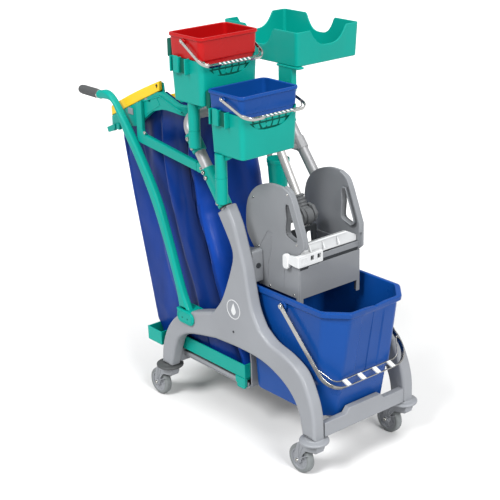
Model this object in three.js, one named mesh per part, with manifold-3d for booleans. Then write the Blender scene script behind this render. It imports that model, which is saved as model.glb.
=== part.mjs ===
// Housekeeping cart: two moulded side frames on four swivel casters carry a mop
// bucket with a wringer at the front, and a tube mast behind them carries two small
// buckets, a tray, a mop holder and the hoop of a large bag at the back.
// Millimetres, +Z up, +X towards the bucket end, -Y towards the push-handle side.
import * as THREE from 'three';
import { mergeVertices } from 'three/addons/utils/BufferGeometryUtils.js';
import Module from 'manifold-3d';

const wasm = await Module();
wasm.setup();

// ---------- driving dimensions ----------
const GAP = 0.3;                  // between pieces that touch
const TURN_GAP = 0.6;             // round a post that turns in its socket

const FRONT_STEM_X = 442;         // caster swivel axes
const REAR_STEM_X = -323;
const STEM_Y = 204;
const TRAIL = 60;                 // wheel axle behind its swivel axis
const WHEEL_R = 50;
const WHEEL_WIDTH = 26;
const AXLE_R = 4;
const FORK_PLATE = 4;
const FORK_IN = WHEEL_WIDTH / 2 + 1.5;        // from the wheel's middle to a fork plate
const DISC_R = 49;
const DISC_TOP = 147.7;

const FRAME_OUT = 228;            // side frame, outer face
const FRAME_THICK = 48;
const FRAME_IN = FRAME_OUT - FRAME_THICK;
const FRAME_WALL = 6;
const LEG_FOOT = 148;

const MAST_R = 18.5;
const MAST_WALL = 2.5;
const MAST_Y = 204;
const MAST_TOP_Z = 1084;
const MAST_FOOT = { x: 27, z: 821 };          // where the mast leaves the side frame
const MAST_LEAN = THREE.MathUtils.degToRad(38.4);
const MAST_SUNK = 80;
const MAST_BEND = 58;

const POST_R = 16;                // the part of an accessory post inside its socket
const POST_WALL = 3;
const SOCKET_R = 20;
const SOCKET_Y = 236;

const BUCKET_RIM_Z = 570;
const BUCKET_FLOOR_Z = 183;
const BAIL_X = 265;
const BAIL_Z = 539;
const BAIL_Y = 183;
const BAIL_LENGTH = 319;
const BAIL_HANG = 47;             // degrees below horizontal, resting on the bucket

const SMALL_RIM_X = 174;          // small bucket rim
const SMALL_RIM_Y = 243;
const HOLDER_X = 162;
const HOLDER_Y = 234;
const HOLDER_HEIGHT = 143;
const SMALL_BAIL_LENGTH = 130;

const TRAY = { x0: -490, x1: -97, y0: 222, y1: 517, z0: 1190, z1: 1309 };
const TRAY_POST = { x: -165, y: 238 };

const WRINGER_Y = 129;            // middle of each side plate
const WRINGER_PLATE = 10;
const WRINGER_FLOOR_Z = 558;
const LEVER = { x: 150, y: 30, z: 765, r: 14.5, lean: 31 };   // pivot, tube and slope of the wringer lever

const HOOP = { rearX: -655, frontX: -200.3, halfY: 190, wall: 16, corner: 42 };
const CLAMP_PIVOT = { x: -345, z: 1151 };

const COLOURS = {
  teal: [0x00b4a8, 0.45, 0.0],
  grey: [0xa8abae, 0.5, 0.0],
  darkGrey: [0x6e7173, 0.55, 0.0],
  wringerGrey: [0x8f9396, 0.5, 0.0],
  blue: [0x2a57ad, 0.4, 0.0],
  red: [0xc81e1e, 0.4, 0.0],
  yellow: [0xffd22c, 0.45, 0.0],
  white: [0xf2f2f0, 0.45, 0.0],
  bag: [0x1f4797, 0.35, 0.0],
  steel: [0xc9ccd0, 0.25, 1.0],
  tyre: [0x8d9092, 0.7, 0.0],
};

// ---------- solids and booleans ----------
function toSolid(geometry) {
  const bare = geometry.clone();
  bare.deleteAttribute('normal');
  bare.deleteAttribute('uv');
  const merged = mergeVertices(bare);
  return new wasm.Manifold(new wasm.Mesh({
    numProp: 3,
    vertProperties: new Float32Array(merged.attributes.position.array),
    triVerts: new Uint32Array(merged.index.array),
  }));
}

function toGeometry(solid) {
  const mesh = solid.getMesh();
  const geometry = new THREE.BufferGeometry();
  geometry.setAttribute('position', new THREE.BufferAttribute(mesh.vertProperties, 3));
  geometry.setIndex(new THREE.BufferAttribute(mesh.triVerts, 1));
  return geometry;
}

function union(...geometries) {
  return toGeometry(geometries.map(toSolid).reduce((sum, next) => sum.add(next)));
}

function cut(geometry, ...tools) {
  const rest = tools.map(toSolid).reduce((solid, tool) => solid.subtract(tool), toSolid(geometry));
  return toGeometry(rest);
}

function overlap(a, b) {
  return toGeometry(toSolid(a).intersect(toSolid(b)));
}

// ---------- plain shapes ----------
function box(x0, x1, y0, y1, z0, z1) {
  const geometry = new THREE.BoxGeometry(x1 - x0, y1 - y0, z1 - z0);
  return geometry.translate((x0 + x1) / 2, (y0 + y1) / 2, (z0 + z1) / 2);
}

// A cylinder along Z from z0 to z1, or along Y.
function post(radius, z0, z1, x = 0, y = 0, sides = 24) {
  const geometry = new THREE.CylinderGeometry(radius, radius, z1 - z0, sides).rotateX(Math.PI / 2);
  return geometry.translate(x, y, (z0 + z1) / 2);
}

function pinY(radius, y0, y1, x = 0, z = 0, sides = 20) {
  const geometry = new THREE.CylinderGeometry(radius, radius, y1 - y0, sides);
  return geometry.translate(x, (y0 + y1) / 2, z);
}

// A turned piece around Z from [radius, height] pairs that close on themselves or on the axis.
function turned(profile, sides = 28) {
  const points = profile.map(([r, z]) => new THREE.Vector2(r, z));
  return new THREE.LatheGeometry(points, sides).rotateX(Math.PI / 2);
}

function shapeOf(points) {
  return new THREE.Shape(points.map(([x, z]) => new THREE.Vector2(x, z)));
}

// An outline drawn in X and Z, made solid from y0 to y1.
function slab(shape, y0, y1, bevel = 0, curveSegments = 5, bevelSegments = 1) {
  const geometry = new THREE.ExtrudeGeometry(shape, {
    depth: y1 - y0 - 2 * bevel,
    bevelEnabled: bevel > 0,
    bevelThickness: bevel,
    bevelSize: bevel,
    bevelOffset: -bevel,
    bevelSegments,
    curveSegments,
  });
  return geometry.translate(0, 0, bevel).rotateX(Math.PI / 2).translate(0, y1, 0);
}

// The same outline grown (or shrunk) by a margin all round.
function grownSlab(shape, y0, y1, margin, curveSegments = 5) {
  const skin = 0.5;
  const geometry = new THREE.ExtrudeGeometry(shape, {
    depth: y1 - y0 - 2 * skin,
    bevelEnabled: true,
    bevelThickness: skin,
    bevelSize: 0.01,
    bevelOffset: margin,
    bevelSegments: 1,
    curveSegments,
  });
  return geometry.translate(0, 0, skin).rotateX(Math.PI / 2).translate(0, y1, 0);
}

// An outline drawn in X and Y, made solid from z0 to z1.
function prism(shape, z0, z1, curveSegments = 5) {
  const geometry = new THREE.ExtrudeGeometry(shape, { depth: z1 - z0, bevelEnabled: false, curveSegments });
  return geometry.translate(0, 0, z0);
}

// An outline drawn in Y and Z, made solid from x0 to x1.
function wallX(shape, x0, x1, curveSegments = 5) {
  const geometry = new THREE.ExtrudeGeometry(shape, { depth: x1 - x0, bevelEnabled: false, curveSegments });
  return geometry.rotateX(Math.PI / 2).rotateZ(Math.PI / 2).translate(x0, 0, 0);
}

// A curve through points at even steps of its parameter, so a swept tube has a ring at each point.
class RingPath extends THREE.Curve {
  constructor(points) {
    super();
    this.points = points;
  }
  getPoint(t, target = new THREE.Vector3()) {
    const place = Math.min(t, 1) * (this.points.length - 1);
    const from = Math.min(Math.floor(place), this.points.length - 2);
    return target.lerpVectors(this.points[from], this.points[from + 1], place - from);
  }
  getPointAt(u, target) {
    return this.getPoint(u, target);
  }
  getTangentAt(u, target = new THREE.Vector3()) {
    const at = Math.round(u * (this.points.length - 1));
    const before = this.points[Math.max(at - 1, 0)];
    const after = this.points[Math.min(at + 1, this.points.length - 1)];
    return target.subVectors(after, before).normalize();
  }
  getSpacedPoints() {
    return this.points;
  }
}

// Corner points joined by straight runs, each corner rounded with a number of rings.
function bentPath(corners, bend, rings = 6) {
  const points = [corners[0]];
  for (let i = 1; i < corners.length - 1; i += 1) {
    const back = corners[i - 1].clone().sub(corners[i]).normalize();
    const onward = corners[i + 1].clone().sub(corners[i]).normalize();
    const half = back.angleTo(onward) / 2;
    const reach = bend / Math.tan(half);
    const inward = back.clone().add(onward).normalize();
    const centre = corners[i].clone().addScaledVector(inward, bend / Math.sin(half));
    const start = corners[i].clone().addScaledVector(back, reach).sub(centre);
    const end = corners[i].clone().addScaledVector(onward, reach).sub(centre);
    const axis = start.clone().cross(end).normalize();
    const turn = start.angleTo(end);
    for (let k = 0; k <= rings; k += 1) {
      points.push(start.clone().applyAxisAngle(axis, (turn * k) / rings).add(centre));
    }
  }
  points.push(corners[corners.length - 1]);
  return new RingPath(points);
}

function sweep(section, path, curveSegments = 16) {
  return new THREE.ExtrudeGeometry(section, {
    steps: path.points.length - 1,
    extrudePath: path,
    curveSegments,
  });
}

// A round tube along a path; it is solid when no inner radius is given.
function tube(path, outer, inner = 0, sides = 16) {
  const shape = new THREE.Shape();
  shape.absarc(0, 0, outer, 0, 2 * Math.PI);
  shape.autoClose = true;
  if (inner > 0) {
    const hole = new THREE.Path();
    hole.absarc(0, 0, inner, 0, 2 * Math.PI);
    shape.holes.push(hole);
  }
  return sweep(shape, path, sides / 2);
}

const v3 = (x, y, z) => new THREE.Vector3(x, y, z);

// A closed skin through rings of equally many points: the first and last rings are filled in.
function loft(rings) {
  const count = rings[0].length;
  const positions = rings.flat().flat();
  const index = [];
  for (let r = 0; r < rings.length - 1; r += 1) {
    for (let i = 0; i < count; i += 1) {
      const a = r * count + i;
      const b = r * count + ((i + 1) % count);
      index.push(a, b, b + count, a, b + count, a + count);
    }
  }
  const first = positions.length / 3;
  const last = first + 1;
  const middle = (ring) => [0, 1, 2].map((k) => ring.reduce((sum, p) => sum + p[k], 0) / count);
  positions.push(...middle(rings[0]), ...middle(rings[rings.length - 1]));
  const top = (rings.length - 1) * count;
  for (let i = 0; i < count; i += 1) {
    const next = (i + 1) % count;
    index.push(first, next, i);
    index.push(last, top + i, top + next);
  }
  const geometry = new THREE.BufferGeometry();
  geometry.setAttribute('position', new THREE.Float32BufferAttribute(positions, 3));
  geometry.setIndex(index);
  return geometry;
}

// One ring: a rectangle with rounded corners, counter-clockwise from above.
function rectRing(x0, x1, y0, y1, radius, heightAt, perCorner = 4) {
  const corners = [[x1, y1, 0], [x0, y1, 90], [x0, y0, 180], [x1, y0, 270]];
  const ring = [];
  for (const [cx, cy, start] of corners) {
    const mx = cx === x1 ? x1 - radius : x0 + radius;
    const my = cy === y1 ? y1 - radius : y0 + radius;
    for (let k = 0; k < perCorner; k += 1) {
      const angle = THREE.MathUtils.degToRad(start + (90 * k) / (perCorner - 1));
      const x = mx + radius * Math.cos(angle);
      const y = my + radius * Math.sin(angle);
      ring.push([x, y, typeof heightAt === 'function' ? heightAt(x, y) : heightAt]);
    }
  }
  return ring;
}

// ---------- the model ----------
const cart = new THREE.Group();

function material(name) {
  const [color, roughness, metalness] = COLOURS[name];
  return new THREE.MeshStandardMaterial({ color, roughness, metalness });
}

function addMesh(name, geometry, colour, parent = cart) {
  const mesh = new THREE.Mesh(geometry, material(colour));
  mesh.name = name;
  parent.add(mesh);
  return mesh;
}

const SIDES = [['near', -1], ['far', 1]];

// A piece drawn for the near side, on the side that is asked for.
function mirrored(geometry, side) {
  return side < 0 ? geometry : toGeometry(toSolid(geometry).mirror([0, 1, 0]));
}

// Mast axis: a point at a distance up the leaning leg, measured from the side frame's top.
function onMast(distance, y = -MAST_Y) {
  const x = MAST_FOOT.x - Math.sin(MAST_LEAN) * distance;
  const z = MAST_FOOT.z + Math.cos(MAST_LEAN) * distance;
  return v3(x, y, z);
}

// ----- side frames -----
function frameOutline() {
  const shape = new THREE.Shape();
  const spline = (pairs) => shape.splineThru(pairs.map(([x, z]) => new THREE.Vector2(x, z)));
  shape.moveTo(-340, LEG_FOOT);
  spline([[-332, 216], [-306, 284], [-262, 341], [-210, 377], [-124, 411], [-35, 439]]);
  spline([[12, 497], [52, 585], [76, 652]]);
  spline([[72, 700], [7, 801]]);
  shape.lineTo(55, 838);
  spline([[90, 782], [119, 705], [140, 640], [152, 580], [172, 505], [205, 450]]);
  spline([[258, 417], [335, 396], [402, 360], [443, 293], [464, 227], [468, LEG_FOOT]]);
  shape.lineTo(408, LEG_FOOT);
  spline([[393, 217], [365, 267], [308, 310], [220, 341], [109, 349], [-24, 343]]);
  spline([[-164, 313], [-230, 278], [-258, 232], [-275, 180], [-286, LEG_FOOT]]);
  return shape;
}

function mastBore(radius) {
  const path = new RingPath([onMast(-MAST_SUNK - 2), onMast(30)]);
  return tube(path, radius, 0, 16);
}

function sideFrame() {
  const outline = frameOutline();
  const skin = slab(outline, -FRAME_OUT, -FRAME_IN, 7, 2);
  const hollow = grownSlab(outline, -FRAME_OUT + FRAME_WALL, -FRAME_IN - FRAME_WALL, -FRAME_WALL - 1, 2);
  const feet = [FRONT_STEM_X - 4, REAR_STEM_X + 8].map((x) => {
    return post(9, LEG_FOOT - 5, LEG_FOOT + 12, x, -MAST_Y, 8);
  });
  return cut(skin, hollow, mastBore(MAST_R + GAP), ...feet);
}

for (const [side, sign] of SIDES) {
  addMesh(`side_frame_${side}`, mirrored(sideFrame(), sign), 'grey');
}

// ----- base between the side frames -----
const PAN_WALL_Y = 152;

function basePan() {
  const inner = FRAME_IN - GAP;
  const floor = box(-290, 75, -164, 164, 172, 178);
  const lips = [-1, 1].map((s) => box(-290, 70, s * 161 - 3, s * 161 + 3, 176, 190));
  const outline = [[70, 172], [76, 172], [76, 262], [64, 392], [58, 392], [70, 262]];
  const wall = slab(shapeOf(outline), -PAN_WALL_Y, PAN_WALL_Y);
  const tongue = box(70, 443.7, -100, 100, 166, 178);
  const rearBar = slab(shapeOf([[-331, 152], [-288, 152], [-288, 198], [-331, 198]]), -inner, inner);
  return union(floor, ...lips, wall, tongue, rearBar);
}
addMesh('base_pan', basePan(), 'grey');

function frontCrossbar() {
  const half = FRAME_IN - GAP;
  const outline = shapeOf([
    [-half, 149], [half, 149], [half, 199], [84, 199], [72, 217], [-72, 217], [-84, 199], [-half, 199],
  ]);
  return wallX(outline, 444, 468);
}
addMesh('front_crossbar', frontCrossbar(), 'grey');

// ----- casters -----
function bumperDisc() {
  return turned([
    [0, 133.5], [DISC_R - 3, 133.5], [DISC_R, 137], [DISC_R - 3, 143],
    [30, 144.5], [28, DISC_TOP], [0, DISC_TOP],
  ], 20);
}

// One fork plate seen from the side: a crown under the disc that runs back to the axle.
function forkOutline() {
  const shape = new THREE.Shape();
  shape.moveTo(30, 126);
  shape.lineTo(-36, 126);
  shape.quadraticCurveTo(-66, 112, -72, 58);
  shape.absarc(-TRAIL, WHEEL_R, 14, Math.PI * 0.85, Math.PI * 1.9, false);
  shape.quadraticCurveTo(-34, 84, 2, 98);
  shape.quadraticCurveTo(26, 106, 30, 126);
  return shape;
}

function casterFork() {
  const half = FORK_IN;
  const middle = half + FORK_PLATE / 2;
  const plates = [-middle, middle].map((y) => {
    return slab(forkOutline(), y - FORK_PLATE / 2, y + FORK_PLATE / 2, 0, 4);
  });
  const crown = box(-34, 28, -half - 1, half + 1, 106, 126);
  const head = post(24, 120, 133.2, 0, 0, 16);
  const web = cut(crown, pinY(WHEEL_R + 5, -half - 2, half + 2, -TRAIL, WHEEL_R, 20));
  const axleHole = pinY(AXLE_R + GAP, -40, 40, -TRAIL, WHEEL_R, 12);
  return cut(union(...plates, web, head), axleHole);
}

function casterWheel() {
  const half = WHEEL_WIDTH / 2;
  const bore = AXLE_R + 0.5;
  const profile = [
    [bore, -half], [13, -half], [16, -half + 4], [34, -half + 4], [38, -half], [45, -half],
    [WHEEL_R, -half + 6], [WHEEL_R, half - 6], [45, half], [38, half], [34, half - 4], [16, half - 4],
    [13, half], [bore, half], [bore, -half],
  ];
  return turned(profile, 20).rotateX(Math.PI / 2);
}

function casterAxle() {
  const half = FORK_IN + FORK_PLATE + GAP;
  return turned([
    [0, -half - 4], [7, -half - 4], [7, -half], [AXLE_R, -half],
    [AXLE_R, half], [6.5, half], [6.5, half + 3.5], [0, half + 3.5],
  ], 12).rotateX(Math.PI / 2);
}

const CORNERS = [
  ['front_near', FRONT_STEM_X, -STEM_Y], ['front_far', FRONT_STEM_X, STEM_Y],
  ['rear_near', REAR_STEM_X, -STEM_Y], ['rear_far', REAR_STEM_X, STEM_Y],
];
for (const [corner, x, y] of CORNERS) {
  const caster = new THREE.Group();
  caster.position.set(x, y, 0);
  cart.add(caster);
  addMesh(`bumper_disc_${corner}`, bumperDisc(), corner.startsWith('rear') ? 'darkGrey' : 'grey', caster);
  addMesh(`caster_fork_${corner}`, casterFork(), 'grey', caster);
  const running = new THREE.Group();
  running.position.set(-TRAIL, 0, WHEEL_R);
  caster.add(running);
  addMesh(`caster_wheel_${corner}`, casterWheel(), 'tyre', running);
  addMesh(`caster_axle_${corner}`, casterAxle(), 'steel', running);
}

// ----- mast -----
function mastTube() {
  const top = (MAST_TOP_Z - MAST_FOOT.z) / Math.cos(MAST_LEAN);
  const corners = [onMast(-MAST_SUNK), onMast(top), onMast(top, MAST_Y), onMast(-MAST_SUNK, MAST_Y)];
  return tube(bentPath(corners, MAST_BEND, 5), MAST_R, MAST_R - MAST_WALL, 16);
}
addMesh('mast_tube', mastTube(), 'grey');

// A clamp: a sleeve round the mast, an upright socket beside it and the web that joins them.
function mastClamp({ from, to, socket, z0, z1, lug }) {
  const sleeve = tube(new RingPath([onMast(from), onMast(to)]), MAST_R + 5.5, 0, 16);
  const well = post(SOCKET_R, z0, z1, socket.x, -socket.y, 16);
  const middle = onMast((from + to) / 2);
  const run = Math.atan2(-socket.y - middle.y, socket.x - middle.x);
  const reach = Math.hypot(socket.x - middle.x, -socket.y - middle.y);
  const webLow = Math.max(z0, onMast(from).z + 12);
  const webHigh = Math.min(z1, onMast(to).z - 4);
  const web = box(0, reach, -9, 9, webLow, webHigh).rotateZ(run).translate(middle.x, middle.y, 0);
  const pieces = lug ? [sleeve, well, web, lug] : [sleeve, well, web];
  const bore = tube(new RingPath([onMast(from - 40), onMast(to + 40)]), MAST_R + GAP, 0, 16);
  const socketBore = post(POST_R + TURN_GAP, z0 + 10, z1 + 5, socket.x, -socket.y, 20);
  return cut(union(...pieces), bore, socketBore);
}

const ARM = { y0: -206.4, y1: -190.4, start: -122, height: 32 };
const BLUE_POST = { x: 47, y: SOCKET_Y, z0: 856, seat: 932, z1: 1011.7 };
const RED_POST = { x: -84, y: SOCKET_Y, z0: 1015, seat: 1062, z1: 1154.7 };

const armLug = box(-121.6, -50, ARM.y0, ARM.y1, 908, 942);
addMesh('lower_clamp_near', mastClamp({
  from: 3, to: 143, socket: BLUE_POST, z0: 845, z1: BLUE_POST.seat, lug: armLug,
}), 'teal');
addMesh('upper_clamp_near', mastClamp({
  from: 205, to: 272, socket: RED_POST, z0: 1004, z1: RED_POST.seat,
}), 'teal');

addMesh('upper_clamp_far', mirrored(mastClamp({
  from: 226, to: 272, socket: TRAY_POST, z0: 1000, z1: 1086,
}), 1), 'teal');

// ----- mop handle holder and the collar that carries it and the far bag arm -----
const CUP = { x: -85, y: 120, top: 896, low: 772, topR: 40, lowR: 30, wall: 3 };

function handleCup() {
  const { topR, lowR, wall, low, top } = CUP;
  const shell = turned([
    [0, low], [lowR, low], [topR, top], [topR - wall, top], [lowR - wall, low + wall], [0, low + wall],
  ], 24);
  return shell.translate(CUP.x, CUP.y, 0);
}
addMesh('mop_handle_cup', handleCup(), 'teal');

function farCollar() {
  const sleeve = tube(new RingPath([onMast(126), onMast(168)]), MAST_R + 3.5, 0, 16);
  const lug = box(-121.6, -50, ARM.y0, ARM.y1, 912, 940);
  const behind = CUP.x - CUP.topR;
  const bridge = prism(shapeOf([
    [-66, -200], [-54, -186], [behind - 1, -CUP.y + 8], [behind - 9, -CUP.y + 8],
    [behind - 9, -CUP.y - 10],
  ]), 922, 938);
  const drop = box(behind - 9, behind - 1, -CUP.y - 10, -CUP.y + 8, 860, 938);
  const bore = tube(new RingPath([onMast(90), onMast(210)]), MAST_R + GAP, 0, 16);
  return cut(union(sleeve, lug, bridge, drop), bore);
}
addMesh('arm_collar_far', mirrored(farCollar(), 1), 'grey');

// ----- push handle on the near side -----
const HANDLE = { y0: -229, y1: -201, footX: [-200, -158], footZ: 374, footR: 24 };

function handleOutline() {
  const shape = new THREE.Shape();
  const spline = (pairs) => shape.splineThru(pairs.map(([x, z]) => new THREE.Vector2(x, z)));
  shape.moveTo(-222, 398);
  spline([[-239, 471], [-296, 620], [-361, 758], [-442, 886], [-503, 968], [-546, 1034]]);
  shape.quadraticCurveTo(-572, 1076, -618, 1070);
  shape.lineTo(-656, 1065);
  shape.lineTo(-656, 1094);
  shape.quadraticCurveTo(-592, 1112, -560, 1072);
  spline([[-500, 1005], [-400, 886], [-319, 758], [-262, 620], [-206, 471], [-168, 398]]);
  return shape;
}
addMesh('push_handle', slab(handleOutline(), HANDLE.y0, HANDLE.y1, 5, 3), 'teal');

function handleFoot() {
  const { footX, footZ, footR } = HANDLE;
  const ends = footX.map((x) => pinY(footR, -237, -172, x, footZ, 24));
  const middle = box(...footX, -237, -172, footZ - footR, footZ);
  const neck = slab(shapeOf([[-222, 370], [-150, 370], [-166, 397.5], [-222, 397.5]]), -237, -172);
  const above = box(-260, -100, -240, -170, 397.7, 420);
  const frame = grownSlab(frameOutline(), -FRAME_OUT - GAP, -FRAME_IN + GAP, GAP + 0.2, 2);
  return cut(union(...ends, middle, neck), above, frame);
}
addMesh('handle_foot', handleFoot(), 'teal');

function handleGrip() {
  const profile = [[0, 0], [13, 0], [16, 6], [17, 60], [15, 112], [12, 120.5], [0, 120.5]];
  const grip = turned(profile, 20).rotateY(-Math.PI / 2);
  return grip.translate(-656.5, (HANDLE.y0 + HANDLE.y1) / 2, 1079);
}
addMesh('handle_grip', handleGrip(), 'darkGrey');

// ----- bag carrier -----
function bagArm() {
  const h = ARM.height / 2;
  const outline = shapeOf([
    [ARM.start, 925 - h], [ARM.start, 925 + h], [-408, 961 + h], [-421, 975], [-421, 1092],
    [-453, 1082], [-453, 960], [-436, 944],
  ]);
  return slab(outline, ARM.y0, ARM.y1, 3);
}
for (const [side, sign] of SIDES) {
  addMesh(`bag_arm_${side}`, mirrored(bagArm(), sign), 'teal');
}

// Height of the hoop's top edge: it rises from the rear to a peak, then falls to the mast.
const HOOP_LINE = [[-700, 968], [-330, 1142], [-150, 1086]];

function hoopTop(x) {
  const [rear, peak, front] = HOOP_LINE;
  const [from, to] = x < peak[0] ? [rear, peak] : [peak, front];
  return from[1] + ((x - from[0]) / (to[0] - from[0])) * (to[1] - from[1]);
}

function planRing(x0, x1, halfY, wall, corner, z0, z1) {
  const outside = [x0, x1, -halfY, halfY, corner];
  const outer = loft([rectRing(...outside, z0), rectRing(...outside, z1)]);
  const inset = [x0 + wall, x1 - wall, -halfY + wall, halfY - wall, corner - wall];
  const inner = loft([rectRing(...inset, z0 - 1), rectRing(...inset, z1 + 1)]);
  return cut(outer, inner);
}

function bagHoop() {
  const { rearX, frontX, halfY, wall, corner } = HOOP;
  const ring = planRing(rearX, frontX, halfY, wall, corner, 900, 1200);
  const side = new THREE.Shape();
  side.moveTo(HOOP_LINE[0][0], HOOP_LINE[0][1]);
  side.lineTo(HOOP_LINE[1][0], HOOP_LINE[1][1]);
  side.lineTo(HOOP_LINE[2][0], HOOP_LINE[2][1]);
  side.lineTo(-150, 1062);
  side.lineTo(-237, 1085);
  side.quadraticCurveTo(-350, 1092, -423, 1030);
  side.quadraticCurveTo(-470, 984, -560, 990);
  side.lineTo(-700, 930);
  const band = slab(side, -halfY - 5, halfY + 5, 0, 6);
  const ears = [-1, 1].map((s) => {
    const inside = halfY - wall;
    const ear = slab(shapeOf([[-360, 1100], [-326, 1100], [-332, 1162], [-356, 1160]]), -inside, -inside + 6);
    const pin = pinY(3.5, -halfY + 2, -inside + 3, CLAMP_PIVOT.x, CLAMP_PIVOT.z, 12);
    return s < 0 ? union(ear, pin) : mirrored(union(ear, pin), 1);
  });
  return union(overlap(ring, band), ...ears);
}
addMesh('bag_hoop', bagHoop(), 'teal');

function bagClamp() {
  const { rearX, frontX, halfY, corner } = HOOP;
  const ring = planRing(rearX, frontX + 200, halfY, HOOP.wall - 2, corner, 950, 1250);
  const lift = 1.2;
  const rise = 36;
  const slope = (x) => hoopTop(x) + lift;
  const bar = shapeOf([
    [-670, slope(-670)], [-338, slope(-338)], [-332, slope(-338) + 6], [-334, slope(-338) + rise],
    [-346, slope(-346) + rise + 2], [-560, slope(-560) + rise + 4], [-670, slope(-670) + rise - 6],
  ]);
  const holes = pinY(4.1, -halfY - 5, halfY + 5, CLAMP_PIVOT.x, CLAMP_PIVOT.z, 16);
  return cut(overlap(ring, slab(bar, -halfY - 5, halfY + 5)), holes);
}
addMesh('bag_clamp', bagClamp(), 'yellow');

// The bag hangs from the hoop and stands on the platform: a thin open-topped shell.
const BAG_RINGS = [
  // rear x, front x, half width, height
  [-412, 36, 166, 218],
  [-420, 48, 169, 262],
  [-446, 34, 168, 292],
  [-517, -92, 166, 560],
  [-566, -168, 165, 750],
  [-612, -216, 164, 950],
];
const BAG_CORNER = 30;

function bagShell() {
  const wall = 4;
  const outer = BAG_RINGS.map(([x0, x1, half, z]) => rectRing(x0, x1, -half, half, BAG_CORNER, z, 5));
  const inner = BAG_RINGS.map(([x0, x1, half, z]) => {
    const low = z === BAG_RINGS[0][3] ? z + wall : z;
    return rectRing(x0 + wall, x1 - wall, -half + wall, half - wall, BAG_CORNER - wall, low, 5);
  });
  const mouth = (inset) => {
    const rear = HOOP.rearX + HOOP.wall + 3 + inset;
    const front = HOOP.frontX - HOOP.wall - 3 - inset;
    const half = HOOP.halfY - HOOP.wall - 9 - inset;
    return rectRing(rear, front, -half, half, 34 - inset, (x) => hoopTop(x) - 8, 5);
  };
  return loft([...outer, mouth(0), mouth(wall), ...inner.reverse()]);
}
addMesh('bag', bagShell(), 'bag');

function bagPlatform() {
  const plan = (m) => shapeOf([
    [-428 + m, -221 + m], [-347 - m, -221 + m], [-347 - m, -177 + m], [69 - m, -177 + m],
    [69 - m, 177 - m], [-347 - m, 177 - m], [-347 - m, 221 - m], [-428 + m, 221 - m],
  ]);
  return cut(prism(plan(0), 208, 260), prism(plan(5), 214, 265));
}
addMesh('bag_platform', bagPlatform(), 'teal');

function platformBracket() {
  const tabs = [-1, 1].map((s) => box(18, 69, s * 172 - 6, s * 172 + 6, 168, 207.6));
  return union(...tabs, box(30, 60, -170, 170, 195, 207.6));
}
addMesh('platform_bracket', platformBracket(), 'teal');

// ----- mop bucket -----
// One ring of the mop bucket: rounded rear corners and cut-off front corners.
function bucketRing(z, grow) {
  const t = (z - BUCKET_FLOOR_Z) / (BUCKET_RIM_Z - BUCKET_FLOOR_Z);
  const mix = (low, high) => low + (high - low) * t;
  const rear = mix(84, 68) - grow;
  const front = mix(434, 505) + grow;
  const half = mix(148, 166) + grow;
  const cutX = mix(46, 66);
  const cutY = mix(46, 64);
  const round = 26;
  const knee = 6;
  const side = (s) => [
    [front, s * (half - cutY - knee)], [front - knee, s * (half - cutY + knee)],
    [front - cutX + knee, s * (half - knee)], [front - cutX - knee, s * half],
    [rear + round, s * half], [rear + round * 0.3, s * (half - round * 0.3)], [rear, s * (half - round)],
  ];
  const plan = [...side(1), ...side(-1).reverse()];
  return plan.map(([x, y]) => [x, y, z]);
}

function mopBucket() {
  const wall = 4;
  const shell = loft([
    bucketRing(BUCKET_FLOOR_Z, 0), bucketRing(BUCKET_RIM_Z - 18, 0), bucketRing(BUCKET_RIM_Z - 18, 9),
    bucketRing(BUCKET_RIM_Z, 9), bucketRing(BUCKET_RIM_Z, -wall), bucketRing(BUCKET_FLOOR_Z + wall, -wall),
  ]);
  const ears = [-1, 1].map((s) => pinY(15, s < 0 ? -176 : 160, s < 0 ? -160 : 176, BAIL_X, BAIL_Z, 20));
  const holes = [-1, 1].map((s) => pinY(5.6, s < 0 ? -180 : 168, s < 0 ? -168 : 180, BAIL_X, BAIL_Z, 16));
  return cut(union(shell, ...ears), ...holes);
}
addMesh('mop_bucket', mopBucket(), 'blue');

// A bail lying flat towards +X from pivots on the Y axis: a steel strap with two inward pins.
function bail(halfY, length, bend, width, thick, pinR, pinIn) {
  const corners = [v3(-8, -halfY, 0), v3(length, -halfY, 0), v3(length, halfY, 0), v3(-8, halfY, 0)];
  const [w, t] = [width / 2, thick / 2];
  const section = shapeOf([[-w, -t], [w, -t], [w, t], [-w, t]]);
  const strap = sweep(section, bentPath(corners, bend, 5), 1);
  const pins = [-1, 1].map((s) => pinY(pinR, s < 0 ? -halfY : pinIn, s < 0 ? -pinIn : halfY, 0, 0, 12));
  return union(strap, ...pins);
}

function gripSleeve(half, length, width, thick, wall) {
  const [w, t] = [width / 2, thick / 2];
  const shell = box(length - t - wall, length + t + wall, -half, half, -w - wall, w + wall);
  const room = box(length - t - GAP, length + t + GAP, -half - 1, half + 1, -w - GAP, w + GAP);
  return cut(shell, room);
}

const mopBail = new THREE.Group();
mopBail.position.set(BAIL_X, 0, BAIL_Z);
mopBail.rotation.y = THREE.MathUtils.degToRad(BAIL_HANG);
cart.add(mopBail);
addMesh('mop_bucket_bail', bail(BAIL_Y, BAIL_LENGTH, 70, 18, 4, 5, 170), 'steel', mopBail);
addMesh('mop_bucket_grip', gripSleeve(72, BAIL_LENGTH, 18, 4, 3), 'white', mopBail);

// ----- wringer -----
function wringerOutline() {
  const shape = new THREE.Shape();
  const spline = (pairs) => shape.splineThru(pairs.map(([x, z]) => new THREE.Vector2(x, z)));
  shape.moveTo(98, WRINGER_FLOOR_Z);
  shape.lineTo(86, 672);
  spline([[56, 710], [42, 745], [45, 815], [64, 860], [104, 896], [165, 917], [222, 918]]);
  spline([[256, 902], [276, 868]]);
  shape.lineTo(320, 760);
  shape.lineTo(320, 730);
  shape.lineTo(299, 714);
  shape.lineTo(297, 520);
  shape.lineTo(284, 520);
  shape.lineTo(284, WRINGER_FLOOR_Z);
  return shape;
}

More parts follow.
